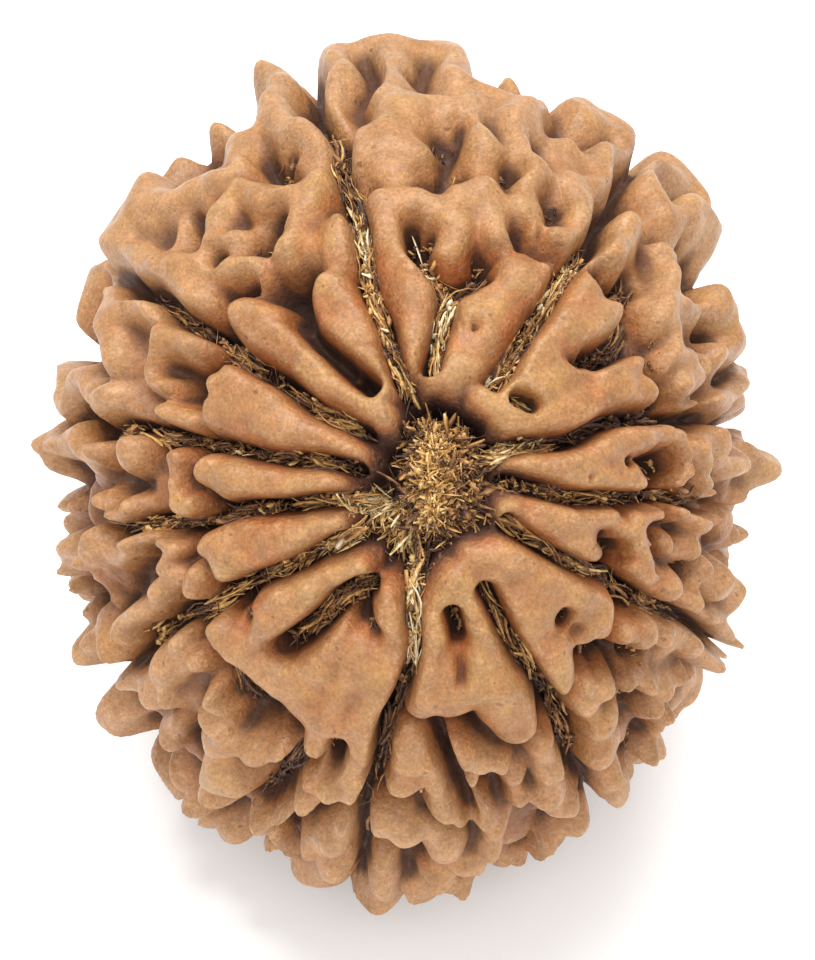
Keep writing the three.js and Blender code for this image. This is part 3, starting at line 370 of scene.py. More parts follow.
SIDE_KNOBS = [[[350, 77, 0.7, -0.25], [352, 83, 0.85, -0.15]], [[359, 81, 0.65, -0.25], [356, 88, 0.8, -0.1]]]
print("right chains", len(RIGHT_LOBES) + len(SIDE_KNOBS))

# %% [markdown]
# The pole is a hollow with a rough plug in it, and the seed has a broad worn lobe where it rests.

# %% Plug and resting lobe
PLUG = [[75, 3.8, 1.4, -1.05], [285, 3.8, 1.4, -1.05]]
RESTING_LOBE = [[262, 139.5, 3.3, 0.6], [278, 139.5, 3.3, 0.6]]
print("plug places", len(PLUG), "resting places", len(RESTING_LOBE))

# %% [markdown]
# ## Grooves, furrows and pits
# The deep grooves part the faces of the seed and run from pole to pole. Shorter furrows branch off inside a
# face, and pits go down between knobs.

# %% Deep grooves
GROOVES = [
    [[22, 11], [18.5, 20], [17.8, 30], [17.3, 40], [17, 48], [14, 56], [11, 70], [11, 90]],
    [[60, 16], [57.5, 20], [57.5, 40], [57, 60], [57.5, 75], [58.5, 90]],
    [[107, 12], [110, 20], [108.5, 30], [106.5, 36], [106, 42], [107.5, 48], [106.5, 55], [107, 60, 1],
     [108, 70, 1], [108, 90, 1]],
    [[146, 12], [149, 20], [148.5, 30], [147.5, 38], [147.3, 50], [147.5, 60], [147, 75], [145.5, 90]],
    [[172, 12], [170.5, 20], [171.5, 30], [171, 48], [170.7, 60], [170, 75], [170.5, 90]],
    [[193, 12], [189.7, 20], [190, 30], [190.3, 40], [189, 48], [188.5, 60], [189, 75], [188.5, 90]],
    [[212, 16], [211, 20], [209.5, 30], [208.5, 36], [209.5, 42], [208.5, 50], [209.5, 60], [209.5, 72],
     [211, 90]],
    [[257, 11], [259.5, 18], [262, 23], [261.5, 30], [259.5, 38], [259, 48], [258.8, 58], [258.5, 70],
     [258.5, 90]],
    [[293, 17], [294, 21], [296, 29], [297, 36], [298.5, 42], [297, 48], [296.5, 56], [296, 68],
     [295.5, 90]],
    [[331, 13], [329.5, 19], [328.3, 26], [328.5, 32], [330, 37], [329, 42], [329.3, 50], [330.5, 60],
     [331, 75], [331.5, 90]],
    [[357, 12], [353.5, 17], [353, 25], [354.5, 35], [356, 43], [356, 48], [355.5, 60], [354.5, 75],
     [354, 90]],
]
print("deep grooves", len(GROOVES))

# %% Furrows and pits
FURROWS = [
    [[[91.5, 14.5], [89.5, 18], [87.5, 22.7], [86, 25.5], [91, 28.5], [94.5, 31.5], [95.5, 35]], 0.2, 2],
    [[[86, 25.5], [82, 27], [77.5, 30]], 0.2, 1.9],
    [[[123, 14.5], [127, 19], [129.5, 25], [130.5, 30], [128, 32.5]], 0.2, 2],
    [[[238, 17.5], [232.5, 21.5], [230.8, 25.5], [229.5, 29], [228.5, 33]], 0.3, 2],
    [[[86.5, 57], [88, 50], [88.5, 45], [90.5, 41]], 0.15, 1.7],
    [[[270.5, 35.5], [271.7, 40], [273.3, 44.5], [274.2, 49], [275.3, 53.5]], 0.2, 1.8],
    [[[45, 17.5], [38.5, 19.5]], 0.18, 1.6],
    [[[279, 23], [278.5, 29]], 0.15, 0.5],
    [[[38.5, 34], [37, 39], [36, 43.5], [39, 47], [42, 49.5], [44.5, 51]], 0.35, 1.9],
    [[[50.5, 44.5], [47.5, 45.8], [44.5, 51], [46, 54.5]], 0.35, 1.9],
    [[[27.5, 46.5], [24, 47.5], [20.5, 50]], 0.32, 1.8],
    [[[217, 43.5], [222.5, 44], [226, 46.5], [230.8, 46], [234, 45.3]], 0.3, 1.8],
    [[[245, 46], [243, 53], [242, 59], [241.5, 64]], 0.35, 1.8],
    [[[252, 55.5], [248, 63], [246.5, 69.5]], 0.28, 1.6],
    [[[267.3, 63.5], [267.3, 72]], 0.3, 1.5],
    [[[263.7, 48.5], [266.5, 48.3]], 0.15, 1],
    [[[72.5, 61], [71.5, 56]], 0.2, 1.2],
    [[[71.5, 38.3], [66, 39], [61.5, 40]], 0.32, 1.2],
]
PITS = [
    [[[76, 21.5]], 0.13, 0.8], [[[91.5, 33.5]], 0.3], [[[79.5, 32.5]], 0.3], [[[215.5, 34.5]], 0.35, 0.8],
    [[[246.5, 21.8]], 0.22, 1.2], [[[249.5, 40], [249.5, 45]], 0.38], [[[277.5, 18.5], [279, 22.5]], 0.28],
    [[[312.5, 31.5]], 0.3], [[[313, 34.5]], 0.4, 0.6], [[[352.5, 27]], 0.3], [[[341.3, 32.5]], 0.28],
    [[[337.5, 35.8]], 0.45], [[[1.5, 27.3]], 0.12, 0.6], [[[5, 36.5]], 0.18, 1.2],
    [[[7, 44], [3, 46.5], [358.5, 46]], 0.35], [[[39.5, 30.5]], 0.25, 1.2], [[[90, 53.5]], 0.5],
    [[[99.3, 65], [99.3, 73]], 0.3, 1.5], [[[92.5, 69.5]], 0.35, 1.3], [[[85.5, 45.5]], 0.45],
    [[[118.5, 59], [117, 55], [116.5, 51.5]], 0.4], [[[114.5, 55.5]], 0.3],
    [[[121.5, 44.5], [125, 43.5], [127.5, 42.5]], 0.38], [[[132.5, 59], [134, 56]], 0.38],
    [[[134.5, 47]], 0.3],
    [[[137, 41], [134, 39.5]], 0.3], [[[155.5, 39]], 0.5], [[[230, 42.3]], 0.3], [[[266.5, 48.3]], 0.3],
    [[[279.3, 50]], 0.55], [[[274.3, 57.5]], 0.42], [[[311, 41]], 0.35], [[[310.8, 57.5]], 0.45],
    [[[317.5, 51.5], [320, 55.5]], 0.35], [[[306.5, 79]], 0.3], [[[341, 57.5]], 0.32],
    [[[337.8, 46.8]], 0.22],
    [[[346.5, 44.5]], 0.45], [[[30.5, 69], [27.5, 73]], 0.35], [[[27.5, 60.5], [23.5, 62.5]], 0.35],
    [[[31.5, 52]], 0.4, 0.6], [[[28.5, 48.5]], 0.5, 0.5], [[[49.5, 80]], 0.35], [[[43.7, 74]], 0.3],
    [[[77.3, 49.5]], 0.4], [[[67, 61]], 0.9, 0.5], [[[63.7, 68.5]], 0.3], [[[65.8, 49.3]], 0.28],
    [[[66.3, 41.5]], 0.2, 1.2], [[[50, 9], [70, 8.5], [92, 9.5]], 0.4, 3.6], [[[120, 8.5]], 0.25, 3],
    [[[229, 7]], 0.25, 3], [[[290, 4]], 0.15, 2],
]
print("furrows", len(FURROWS), "pits", len(PITS))

# %% [markdown]
# ## The hidden half
# Nobody sees the half that lies below, yet it is finished too. Its grooves carry on to the far pole, and
# rows of short crooked knobs fill the faces. A repeatable draw from a sine stands in for chance, so the
# pattern is the same each time.

# %% Knobs of the hidden half
FAR_GROOVES = [11, 35, 58.5, 83, 108, 127, 145.5, 170.5, 188.5, 211, 234, 258.5, 277, 295.5, 313, 331.5, 354]
FAR_FIRST_ROW = 91
FAR_ROW_STEP = 8.8
FAR_ROW_COUNT = 8
FAR_FIRST_LIFT = -0.3
KNOB_PITCH = 2.1
KNOB_SHIFT = {"bearing": 0.3, "angle": 4, "far_end": 0.6}
KNOB_SIZE = {"half": 0.7, "growth": 0.35, "taper": 0.75, "length": 6, "lift": 0.2}
FAR_RING = [[157, 1], [163, 0.8], [169, 0.45]]
FAR_SCAR_RADIUS = 1.4
FAR_SCAR_DEPTH = 2.6
DRAW_STEPS = (12.9898, 78.233)
DRAW_SCALE = 43758.5453


def draw(first, second):
    """A repeatable draw from 0 to 1: the part after the point of a large multiple of a sine."""
    value = math.sin(first * DRAW_STEPS[0] + second * DRAW_STEPS[1]) * DRAW_SCALE
    return value - math.floor(value)


def far_knob(sector, row, knob, start, width, count):
    """One short crooked lobe, its place, size and turn drawn from its counts."""
    seed = sector * 100 + row * 10 + knob
    bearing = start + width * (knob + 0.5 + KNOB_SHIFT["bearing"] * (draw(seed, 1) - 0.5)) / count
    angle = FAR_FIRST_ROW + row * FAR_ROW_STEP + KNOB_SHIFT["angle"] * (draw(seed, 2) - 0.5)
    sideways = width / count * KNOB_SHIFT["far_end"] * (draw(seed, 3) - 0.5)
    half = KNOB_SIZE["half"] + KNOB_SIZE["growth"] * draw(seed, 4)
    far_angle = angle + KNOB_SIZE["length"] * (draw(seed, 6) - 0.3)
    far_end = [bearing + sideways, far_angle, half * KNOB_SIZE["taper"]]
    lift = KNOB_SIZE["lift"] * draw(seed, 5) + (FAR_FIRST_LIFT if row == 0 else 0)
    return [[bearing, angle, half, lift], far_end]


def far_lobes():
    """Rows of knobs between neighbouring grooves, as many in a row as its length holds."""
    lobes = []
    for sector, start in enumerate(FAR_GROOVES):
        width = (FAR_GROOVES[(sector + 1) % len(FAR_GROOVES)] - start) % 360
        for row in range(FAR_ROW_COUNT):
            angle = math.radians(FAR_FIRST_ROW + row * FAR_ROW_STEP)
            length = HALF_WIDTH * math.sin(angle) * math.radians(width)
            count = max(1, round(length / KNOB_PITCH))
            lobes += [far_knob(sector, row, knob, start, width, count) for knob in range(count)]
        lobes.append([[start + width / 2, angle, half, -0.1] for angle, half in FAR_RING])
    return lobes


FAR_LOBES = far_lobes()
print("far chains", len(FAR_LOBES))

# %% [markdown]
# ## The smooth egg
# Under the relief is an egg. Seen along the pole's line its equator is an ellipse whose middle lies a little
# off that line, and every other ring is the same ellipse made smaller. Two angles then name any place on it.

# %% Egg and places on it


def unit(vectors):
    """Vectors scaled to a length of one."""
    return vectors / np.maximum(np.linalg.norm(vectors, axis=-1, keepdims=True), 1e-9)


def equator_radius(bearing):
    """Distance from the pole's line to the ellipse of the equator along a bearing, from its quadratic."""
    cosine, sine = np.cos(bearing), np.sin(bearing)
    square = (cosine / HALF_WIDTH) ** 2 + (sine / HALF_LENGTH) ** 2
    cross = cosine * POLE_OFFSET[0] / HALF_WIDTH ** 2 + sine * POLE_OFFSET[1] / HALF_LENGTH ** 2
    rest = (POLE_OFFSET[0] / HALF_WIDTH) ** 2 + (POLE_OFFSET[1] / HALF_LENGTH) ** 2 - 1
    return (-cross + np.sqrt(cross ** 2 - square * rest)) / square


def egg_radius(directions):
    """Radius of the egg along unit directions: one over the length of the direction in egg units."""
    across = np.hypot(directions[..., 0], directions[..., 1])
    bearing = np.arctan2(directions[..., 1], directions[..., 0])
    return 1 / np.hypot(across / equator_radius(bearing), directions[..., 2] / HALF_DEPTH)


def places_on_egg(places):
    """Bearings and angles as points: sine of the angle outwards, its cosine up the pole's line."""
    table = np.array([place[:2] for place in places], dtype=float)
    bearing, angle = np.radians(table[:, 0]), np.radians(table[:, 1])
    across = equator_radius(bearing) * np.sin(angle)
    return np.stack([across * np.cos(bearing), across * np.sin(bearing), HALF_DEPTH * np.cos(angle)], axis=1)


print("equator half-widths", equator_radius(np.radians([0, 90, 180, 270])).round(2))

# %% [markdown]
# ## Height of the relief
# A point's distance to a chain is measured along the surface: the part of the gap that points outwards is
# left out. A lobe has a rounded top and steep sides, and outside the ring its top dips between two places.
# All distances stay in millimetres.

# %% Height of lobes
SLIMMING = {"start": 36, "stop": 44, "width": 0.14}
ROUNDNESS = {"near": 1.0, "far": 1.15}
SADDLE = {"depth": 0.55, "length": 1.8, "top": 4.0, "least": 0.12}
SHOULDER = 0.95
WALL_SLOPE = 4.2
OUT_OF_REACH = 20.0
REACH = 1.3


def surface_distance(points, directions, start, stop):
    """Share along the line between two places, and the distance to it without its outward part."""
    run = stop - start
    away = points - start
    share = np.clip(away @ run / max(run @ run, 1e-9), 0, 1)
    gap = away - share[:, None] * run
    outward = (gap * directions).sum(axis=1)
    return share, np.sqrt(np.maximum((gap ** 2).sum(axis=1) - outward ** 2, 0))


def progress(value, span):
    """Share of the way from a span's start to its stop, kept between 0 and 1."""
    return np.clip((value - span["start"]) / (span["stop"] - span["start"]), 0, 1)


def make_chain(places):
    """A chain's points with its half-widths, its lifts and how round its top is.

    Outside the ring the lobes are slimmer than read off, and rounder.
    """
    outer = np.array([progress(place[1], SLIMMING) for place in places])
    radii = np.array([place[2] for place in places]) - SLIMMING["width"] * outer
    lifts = np.array([place[3] if len(place) > 3 else 0.0 for place in places])
    tips = ROUNDNESS["near"] + (ROUNDNESS["far"] - ROUNDNESS["near"]) * outer
    return {"points": places_on_egg(places), "radii": radii, "lifts": lifts, "tips": tips, "outer": outer}


def close_by(directions, chain, reach):
    """Indices of the directions that can feel a chain: those inside a cone round it."""
    middle = unit(chain["points"].mean(axis=0))
    widest = float((unit(chain["points"]) @ middle).min())
    spread = math.acos(min(1.0, widest)) + reach / HALF_WIDTH
    return np.flatnonzero(directions @ middle > math.cos(min(spread, math.pi)))


def lobe_height(points, directions, chain):
    """Height of a lobe: its lift less a circular fall to the shoulder, then a straight steep fall.

    A saddle between two outer places is a parabola, deepest halfway. It grows with the distance between them
    and fades towards the top of the seed.
    """
    height = np.full(len(points), -OUT_OF_REACH)
    places, radii, lifts, tips = chain["points"], chain["radii"], chain["lifts"], chain["tips"]
    for start in range(max(1, len(places) - 1)):
        stop = min(start + 1, len(places) - 1)
        share, across = surface_distance(points, directions, places[start], places[stop])
        radius = radii[start] + share * (radii[stop] - radii[start])
        saddle = SADDLE["depth"] * min(chain["outer"][start], chain["outer"][stop])
        saddle *= min(1.0, np.linalg.norm(places[stop] - places[start]) / SADDLE["length"])
        saddle *= np.clip(1 - places[start][1] / SADDLE["top"], SADDLE["least"], 1)
        lift = lifts[start] + share * (lifts[stop] - lifts[start]) - saddle * 4 * share * (1 - share)
        tip = tips[start] + share * (tips[stop] - tips[start])
        inner = np.minimum(across / radius, SHOULDER)
        top = lift - tip * radius * (1 - np.sqrt(1 - inner ** 2))
        height = np.maximum(height, top - WALL_SLOPE * np.maximum(across - SHOULDER * radius, 0))
    return height


LOBE_LISTS = [RING_LOBES, UPPER_LOBES, LEFT_LOBES, LOWER_LOBES, RIGHT_LOBES, SIDE_KNOBS, FAR_LOBES, [PLUG]]
LOBES = [make_chain(places) for lobes in LOBE_LISTS for places in lobes]
RESTING_CHAIN = make_chain(RESTING_LOBE)
print("lobes", len(LOBES))

# %% [markdown]
# A cut is a lobe upside down: a narrow floor with steep straight walls. Grooves get a little shallower round
# the seed's widest angle, and pits are short cuts with a floor half as wide as their mouth.

# %% Height of cuts
GROOVE_DEPTH = 2.5
GROOVE_HALF_WIDTH = 0.12
CUT_SLOPE = 12.0
PIT_DEPTH = 1.8
PIT_FLOOR = 0.5
PIT_WALL = 0.6
GROOVE_RISE = {"angle": 85, "spread": 18, "share": 0.4}


def cut_height(points, directions, cut):
    """Height that a cut leaves: its floor, and walls that rise outside its half-width."""
    height = np.full(len(points), OUT_OF_REACH)
    places = cut["points"]
    for start in range(max(1, len(places) - 1)):
        stop = min(start + 1, len(places) - 1)
        share, across = surface_distance(points, directions, places[start], places[stop])
        floor = cut["floor"][start] + share * (cut["floor"][stop] - cut["floor"][start])
        height = np.minimum(height, floor + cut["slope"] * np.maximum(across - cut["half"], 0))
    return height


def make_cut(places, half, depth, slope):
    """A cut's points with its floor's half-width, the same floor all along and the slope of its walls."""
    floor = np.full(len(places), -depth)
    return {"points": places_on_egg(places), "half": half, "floor": floor, "slope": slope}


def make_groove(places):
    """A groove: shallower by a bell curve round the seed's widest angle, unless a place gives a share."""
    groove = make_cut(places, GROOVE_HALF_WIDTH, GROOVE_DEPTH, CUT_SLOPE)
    for index, place in enumerate(places):
        away = (place[1] - GROOVE_RISE["angle"]) / GROOVE_RISE["spread"]
        rise = GROOVE_RISE["share"] * math.exp(-away ** 2)
        groove["floor"][index] *= place[2] if len(place) > 2 else 1 - rise
    return groove


def make_pit(places, radius, depth=PIT_DEPTH):
    """A pit as a cut with a floor half as wide as its mouth."""
    return make_cut(places, radius * PIT_FLOOR, depth, depth / (radius * PIT_WALL))


FAR_ANGLES = (90, 100, 110, 130, 150, 168)
FAR_PLACES = [[[bearing, angle] for angle in FAR_ANGLES] for bearing in FAR_GROOVES]
CUTS = [make_groove(places) for places in GROOVES + FAR_PLACES]
CUTS += [make_cut(places, half, depth, CUT_SLOPE) for places, half, depth in FURROWS]
CUTS += [make_pit(*pit) for pit in PITS]
CUTS.append(make_cut([[0, 180]], FAR_SCAR_RADIUS * PIT_FLOOR, FAR_SCAR_DEPTH, CUT_SLOPE))
print("cuts", len(CUTS))

# %% [markdown]
# ## Unevenness
# No lobe runs dead straight, and its top has faint dents a millimetre or two wide. The plug and the floors of
# the grooves are crumbly. A sum of waves in many directions gives such unevenness without a texture. The
# large waves move the place where the relief is read, so the lobes wander, most of all far from the pole.

# %% Waves for unevenness
WAVE_COUNT = 12
WANDER = {"size": 3.1, "near": 0.08, "far": 0.38, "seeds": (5000, 5100, 5200)}
KNOBBINESS = {"size": 2.3, "height": 0.17, "seed": 5300}


def unevenness(points, size, seed):
    """Sum of sine waves of one length in repeatable directions, scaled to about one."""
    waves = np.array([[draw(seed + wave, axis) - 0.5 for axis in (1, 2, 3)] for wave in range(WAVE_COUNT)])
    waves *= 2 * math.pi / size / np.linalg.norm(waves, axis=1)[:, None]
    phases = np.array([2 * math.pi * draw(seed + wave, 4) for wave in range(WAVE_COUNT)])
    return np.sin(points @ waves.T + phases).sum(axis=1) / math.sqrt(WAVE_COUNT / 2)


def layered(points, layers):
    """Sum of a few sizes of unevenness, each with its own height."""
    return sum(height * unevenness(points, size, seed) for height, size, seed in layers)


def wandered(directions, far):
    """Directions moved sideways by three sets of waves, little near the pole and more far from it."""
    points = directions * egg_radius(directions)[:, None]
    step = WANDER["near"] + (WANDER["far"] - WANDER["near"]) * far
    shift = np.stack([unevenness(points, WANDER["size"], seed) for seed in WANDER["seeds"]], axis=1)
    return unit(points + step[:, None] * shift)


print("waves in each sum", WAVE_COUNT)

# %% [markdown]
# ## The whole relief
# The ground between the lobes lies deep near the pole and swells up outside the ring. Lobes are blended into
# it with the logarithm of a sum of exponentials, which is a highest-of that leaves soft creases, and the cuts
# with the same rule upside down.

# %% Relief
CORE_DEPTH = 2.6
CORE_RISE = {"start": 0.8, "stop": 0.66, "height": 1.15, "top": 0.6}
CORE_SWELL = {"height": 0.3, "size": 2.7, "seed": 5400}
CORE_FALL = {"start": 0.4, "stop": 0.05, "share": 0.4}
BLEND = 8.0
BLEND_FALL = 4.2
OUT_OF_RING = {"start": 0.7, "stop": 0.0}
TOP_SIDE = {"start": 0.0, "stop": 0.5}
TOP_RIM = {"start": 0.1, "stop": 0.35}
GROOVE_GROUND = {"start": -0.9, "stop": -1.7}
DENTS = ((0.06, 1.9, 6000), (0.045, 0.95, 6100), (0.02, 0.5, 6150))
CRUMBLY = ((0.10, 0.8, 6200), (0.07, 0.45, 6300))


def ground_height(places, points, outer):
    """Height of the ground between the lobes: low near the pole and swollen outside the ring."""
    waves = unevenness(points, CORE_SWELL["size"], CORE_SWELL["seed"])
    swell = CORE_RISE["height"] + CORE_SWELL["height"] * waves
    swell += CORE_RISE["top"] * progress(places[:, 1], TOP_SIDE) * progress(places[:, 2], TOP_RIM)
    return outer * swell - CORE_DEPTH


def lowered(height, limit, blend):
    """Height kept under a limit, with the rule of the lobes upside down."""
    return -np.log(np.exp(-blend * height) + np.exp(-blend * limit)) / blend


def relief(places):
    """Height over the egg: ground, blended lobes, blended cuts, the worn lobe and the unevenness."""
    egg = egg_radius(places)
    far = progress(places[:, 2], OUT_OF_RING)
    directions = wandered(places, far)
    points = directions * egg_radius(directions)[:, None]
    outer = progress(places[:, 2], CORE_RISE) * (1 - CORE_FALL["share"] * progress(places[:, 2], CORE_FALL))
    blend = BLEND - BLEND_FALL * outer
    total = np.exp(blend * ground_height(places, points, outer))
    for chain in LOBES:
        near = close_by(directions, chain, chain["radii"].max() + REACH)
        total[near] += np.exp(blend[near] * lobe_height(points[near], directions[near], chain))
    height = np.log(total) / blend
    height += KNOBBINESS["height"] * far * unevenness(points, KNOBBINESS["size"], KNOBBINESS["seed"])
    for cut in CUTS:
        near = close_by(directions, cut, cut["half"] + REACH)
        limit = cut_height(points[near], directions[near], cut)
        height[near] = lowered(height[near], limit, blend[near])
    near = close_by(directions, RESTING_CHAIN, RESTING_CHAIN["radii"].max() + REACH)
    height[near] = np.maximum(height[near], lobe_height(points[near], directions[near], RESTING_CHAIN))
    low = progress(height, GROOVE_GROUND)
    return egg, height + (1 - low) * layered(points, DENTS) + low * layered(points, CRUMBLY)


test_height = relief(np.array([[0.0, 0.0, 1.0], [0.3, 0.0, 0.95]]))[1]
print("heights near the pole", test_height.round(2))

# %% [markdown]
# ## The mesh
# A cube whose faces are cut into squares and blown up to a ball gives even quads with no poles. Its points
# are pulled a little towards the fibrous pole, where the finest relief is. Then they slide over the seed
# towards the middle of their neighbours a few times, so that the steep walls of the grooves get quads too.

# %% Ball of quads
SQUARES = 128
POLE_PULL = 0.25
EVENING_ROUNDS = 13
EVENING_STEP = 0.6


def ball_of_quads(squares):
    """Unit directions and quads of a cube's faces, each cut into squares by equal angles."""
    steps = np.tan(np.linspace(-math.pi / 4, math.pi / 4, squares + 1))
    first, second = np.meshgrid(steps, steps, indexing="ij")
    ones = np.ones_like(first)
    sides = []
    for axis in range(3):
        for sign in (1.0, -1.0):
            side = np.stack([sign * ones, first, sign * second], axis=-1)
            sides.append(np.roll(side, axis, axis=-1).reshape(-1, 3))
    corners = np.concatenate(sides)
    keys = np.round(corners * 1e6).astype(np.int64)
    _, kept, place = np.unique(keys, axis=0, return_index=True, return_inverse=True)
    grid = place.reshape(6, squares + 1, squares + 1)
    quads = np.stack([grid[:, :-1, :-1], grid[:, 1:, :-1], grid[:, 1:, 1:], grid[:, :-1, 1:]], axis=-1)
    return unit(corners[kept]), quads.reshape(-1, 4)


def mean_of_neighbours(values, edges):
    """Mean of each vertex's neighbours along the edges, column by column."""
    both = np.concatenate([edges, edges[:, ::-1]])
    count = np.bincount(both[:, 0], minlength=len(values))
    totals = [np.bincount(both[:, 0], column, len(values)) for column in values[both[:, 1]].T]
    return np.stack(totals, axis=1) / count[:, None]


def even_out(directions, edges):
    """Slides points over the seed towards the middle of their neighbours, and back onto unit directions."""
    for _ in range(EVENING_ROUNDS):
        egg, height = relief(directions)
        points = directions * (egg + height)[:, None]
        points += EVENING_STEP * (mean_of_neighbours(points, edges) - points)
        directions = unit(points)
    return directions


directions, quads = ball_of_quads(SQUARES)
directions = unit(directions + np.array([0.0, 0.0, POLE_PULL]))
sides = np.concatenate([quads[:, [0, 1]], quads[:, [1, 2]], quads[:, [2, 3]], quads[:, [3, 0]]])
edges = np.unique(np.sort(sides, axis=1), axis=0)
directions = even_out(directions, edges)
print("points", len(directions), "quads", len(quads))

# %% [markdown]
# ## From directions to the finished mesh
# The relief is worked out once more and smoothed a little, most of all over the top, and the worn spot is
# cut flat where it meets the surface below. The mesh also keeps three numbers at each point for the colours:
# its height over the egg, how hollow the place is against its surroundings, and its angle from the pole.

# %% Seed mesh
HOLLOW_ROUNDS = 14
SMOOTHING_ROUNDS = 9
SMOOTHING_STEP = {"near": 0.12, "side": 0.16, "top": 0.40}
OUTER_LOBES = {"start": 0.85, "stop": 0.68}
WAXY_TOP = {"start": 0.2, "stop": 0.45}


def flattened(points):
    """Points pulled in along their own directions where they reach below the surface under the seed."""
    down = -(points @ np.array([SIDEWAYS[2], OVER_THE_TOP[2], TO_THE_POLE[2]]))
    return points * np.minimum(1, CENTRE[2] / np.maximum(down, 1e-6))[:, None]


def smoothed(points, edges):
    """Points moved part of the way to the middle of their neighbours, further for the waxy outer lobes."""
    directions = unit(points)
    outer = progress(directions[:, 2], OUTER_LOBES)[:, None]
    top = progress(directions[:, 1], WAXY_TOP)[:, None]
    far = SMOOTHING_STEP["side"] + (SMOOTHING_STEP["top"] - SMOOTHING_STEP["side"]) * top
    step = SMOOTHING_STEP["near"] + (far - SMOOTHING_STEP["near"]) * outer
    for _ in range(SMOOTHING_ROUNDS):
        points = points + step * (mean_of_neighbours(points, edges) - points)
    return points


def hollowness(radii, edges):
    """How far each radius is over the mean of its surroundings, from repeated means of neighbours."""
    spread = radii[:, None].copy()
    for _ in range(HOLLOW_ROUNDS):
        spread = mean_of_neighbours(spread, edges)
    return radii - spread[:, 0]


def outward_quads(points, quads):
    """Quads wound so that their normals point away from the seed's centre."""
    first = points[quads[:, 1]] - points[quads[:, 0]]
    second = points[quads[:, 3]] - points[quads[:, 0]]
    facing = (np.cross(first, second) * points[quads[:, 0]]).sum(axis=1)
    return np.where(facing[:, None] > 0, quads, quads[:, ::-1])


def add_mesh(name, points, faces, values):
    """A smooth mesh object from points, faces of one length and named numbers at its points."""
    mesh = bpy.data.meshes.new(name)
    mesh.vertices.add(len(points))
    mesh.vertices.foreach_set("co", points.astype(np.float32).ravel())
    mesh.loops.add(faces.size)
    mesh.loops.foreach_set("vertex_index", faces.astype(np.int32).ravel())
    mesh.polygons.add(len(faces))
    mesh.polygons.foreach_set("loop_start", np.arange(0, faces.size, faces.shape[1], dtype=np.int32))
    mesh.polygons.foreach_set("use_smooth", np.ones(len(faces), dtype=bool))
    for value_name, value in values.items():
        layer = mesh.attributes.new(value_name, "FLOAT", "POINT")
        layer.data.foreach_set("value", value.astype(np.float32))
    mesh.update(calc_edges=True)
    mesh.validate()
    piece = bpy.data.objects.new(name, mesh)
    bpy.context.scene.collection.objects.link(piece)
    return piece


egg, height = relief(directions)
seed_points = flattened(smoothed(directions * (egg + height)[:, None], edges))
radii = np.linalg.norm(seed_points, axis=1)
seed_values = {
    "height": height,
    "hollow": hollowness(radii, edges),
    "pole_angle": np.degrees(np.arccos(np.clip(directions[:, 2], -1, 1))),
}
seed = add_mesh("seed_surface", to_frame(seed_points), outward_quads(seed_points, quads), seed_values)
print("hollowness from", seed_values["hollow"].min().round(2), "to", seed_values["hollow"].max().round(2))

# %% [markdown]
# ## Colour and gloss of the shell
# A cleaned seed is brown like a waxed nut: paler and pinkish on the rubbed tops, orange-red on the flanks.
# Painted shade darkens it the lower a place lies, to nearly black at the bottom of a crack, and also in the
# hollows and at the inner ends of the wedges. The height and hollowness of the mesh drive those colours,
# noise breaks them up, and a fine bump gives the skin its grain.

# %% Helpers for materials


def new_material(name):
    """A material with its node tree and its shader."""
    material = bpy.data.materials.new(name)
    material.use_nodes = True
    tree = material.node_tree
    return material, tree, tree.nodes["Principled BSDF"]


def attribute(tree, name):
    """The output of a named number of the mesh."""
    node = tree.nodes.new("ShaderNodeAttribute")
    node.attribute_name = name
    return node.outputs["Fac"]


def ranged(tree, value, low, high, to_low=0.0, to_high=1.0):
    """A value moved from one range to another and kept inside it."""
    node = tree.nodes.new("ShaderNodeMapRange")
    for socket, number in zip(("From Min", "From Max", "To Min", "To Max"), (low, high, to_low, to_high)):
        node.inputs[socket].default_value = number
    tree.links.new(value, node.inputs["Value"])
    return node.outputs["Result"]


def noise(tree, size, detail=3.0, roughness=0.55):
    """Noise on object coordinates with lumps of a given size in millimetres."""
    coordinates = tree.nodes.new("ShaderNodeTexCoord")
    node = tree.nodes.new("ShaderNodeTexNoise")
    node.inputs["Scale"].default_value = 1 / (size * MM)
    node.inputs["Detail"].default_value = detail
    node.inputs["Roughness"].default_value = roughness
    tree.links.new(coordinates.outputs["Object"], node.inputs["Vector"])
    return node.outputs["Fac"]


def ramp(tree, value, stops):
    """A colour ramp from a list of places and colours."""
    node = tree.nodes.new("ShaderNodeValToRGB")
    elements = node.color_ramp.elements
    while len(elements) < len(stops):
        elements.new(0.5)
    for element, (place, colour) in zip(elements, stops):
        element.position = place
        element.color = (*colour, 1.0)
    tree.links.new(value, node.inputs["Fac"])
    return node.outputs["Color"]


def mixed(tree, factor, first, second, blend="MIX"):
    """Two colours mixed by a factor; either colour may be a plain one."""
    node = tree.nodes.new("ShaderNodeMix")
    node.data_type = "RGBA"
    node.blend_type = blend
    for place, source in ((0, factor), (6, first), (7, second)):
        if isinstance(source, bpy.types.NodeSocket):
            tree.links.new(source, node.inputs[place])
        else:
            node.inputs[place].default_value = source if place == 0 else (*source, 1.0)
    return node.outputs[2]


def calculated(tree, operation, first, second):
    """One sum or product of a value and a number or another value."""
    node = tree.nodes.new("ShaderNodeMath")
    node.operation = operation
    for place, source in enumerate((first, second)):
        if isinstance(source, bpy.types.NodeSocket):
            tree.links.new(source, node.inputs[place])
        else:
            node.inputs[place].default_value = source
    return node.outputs["Value"]


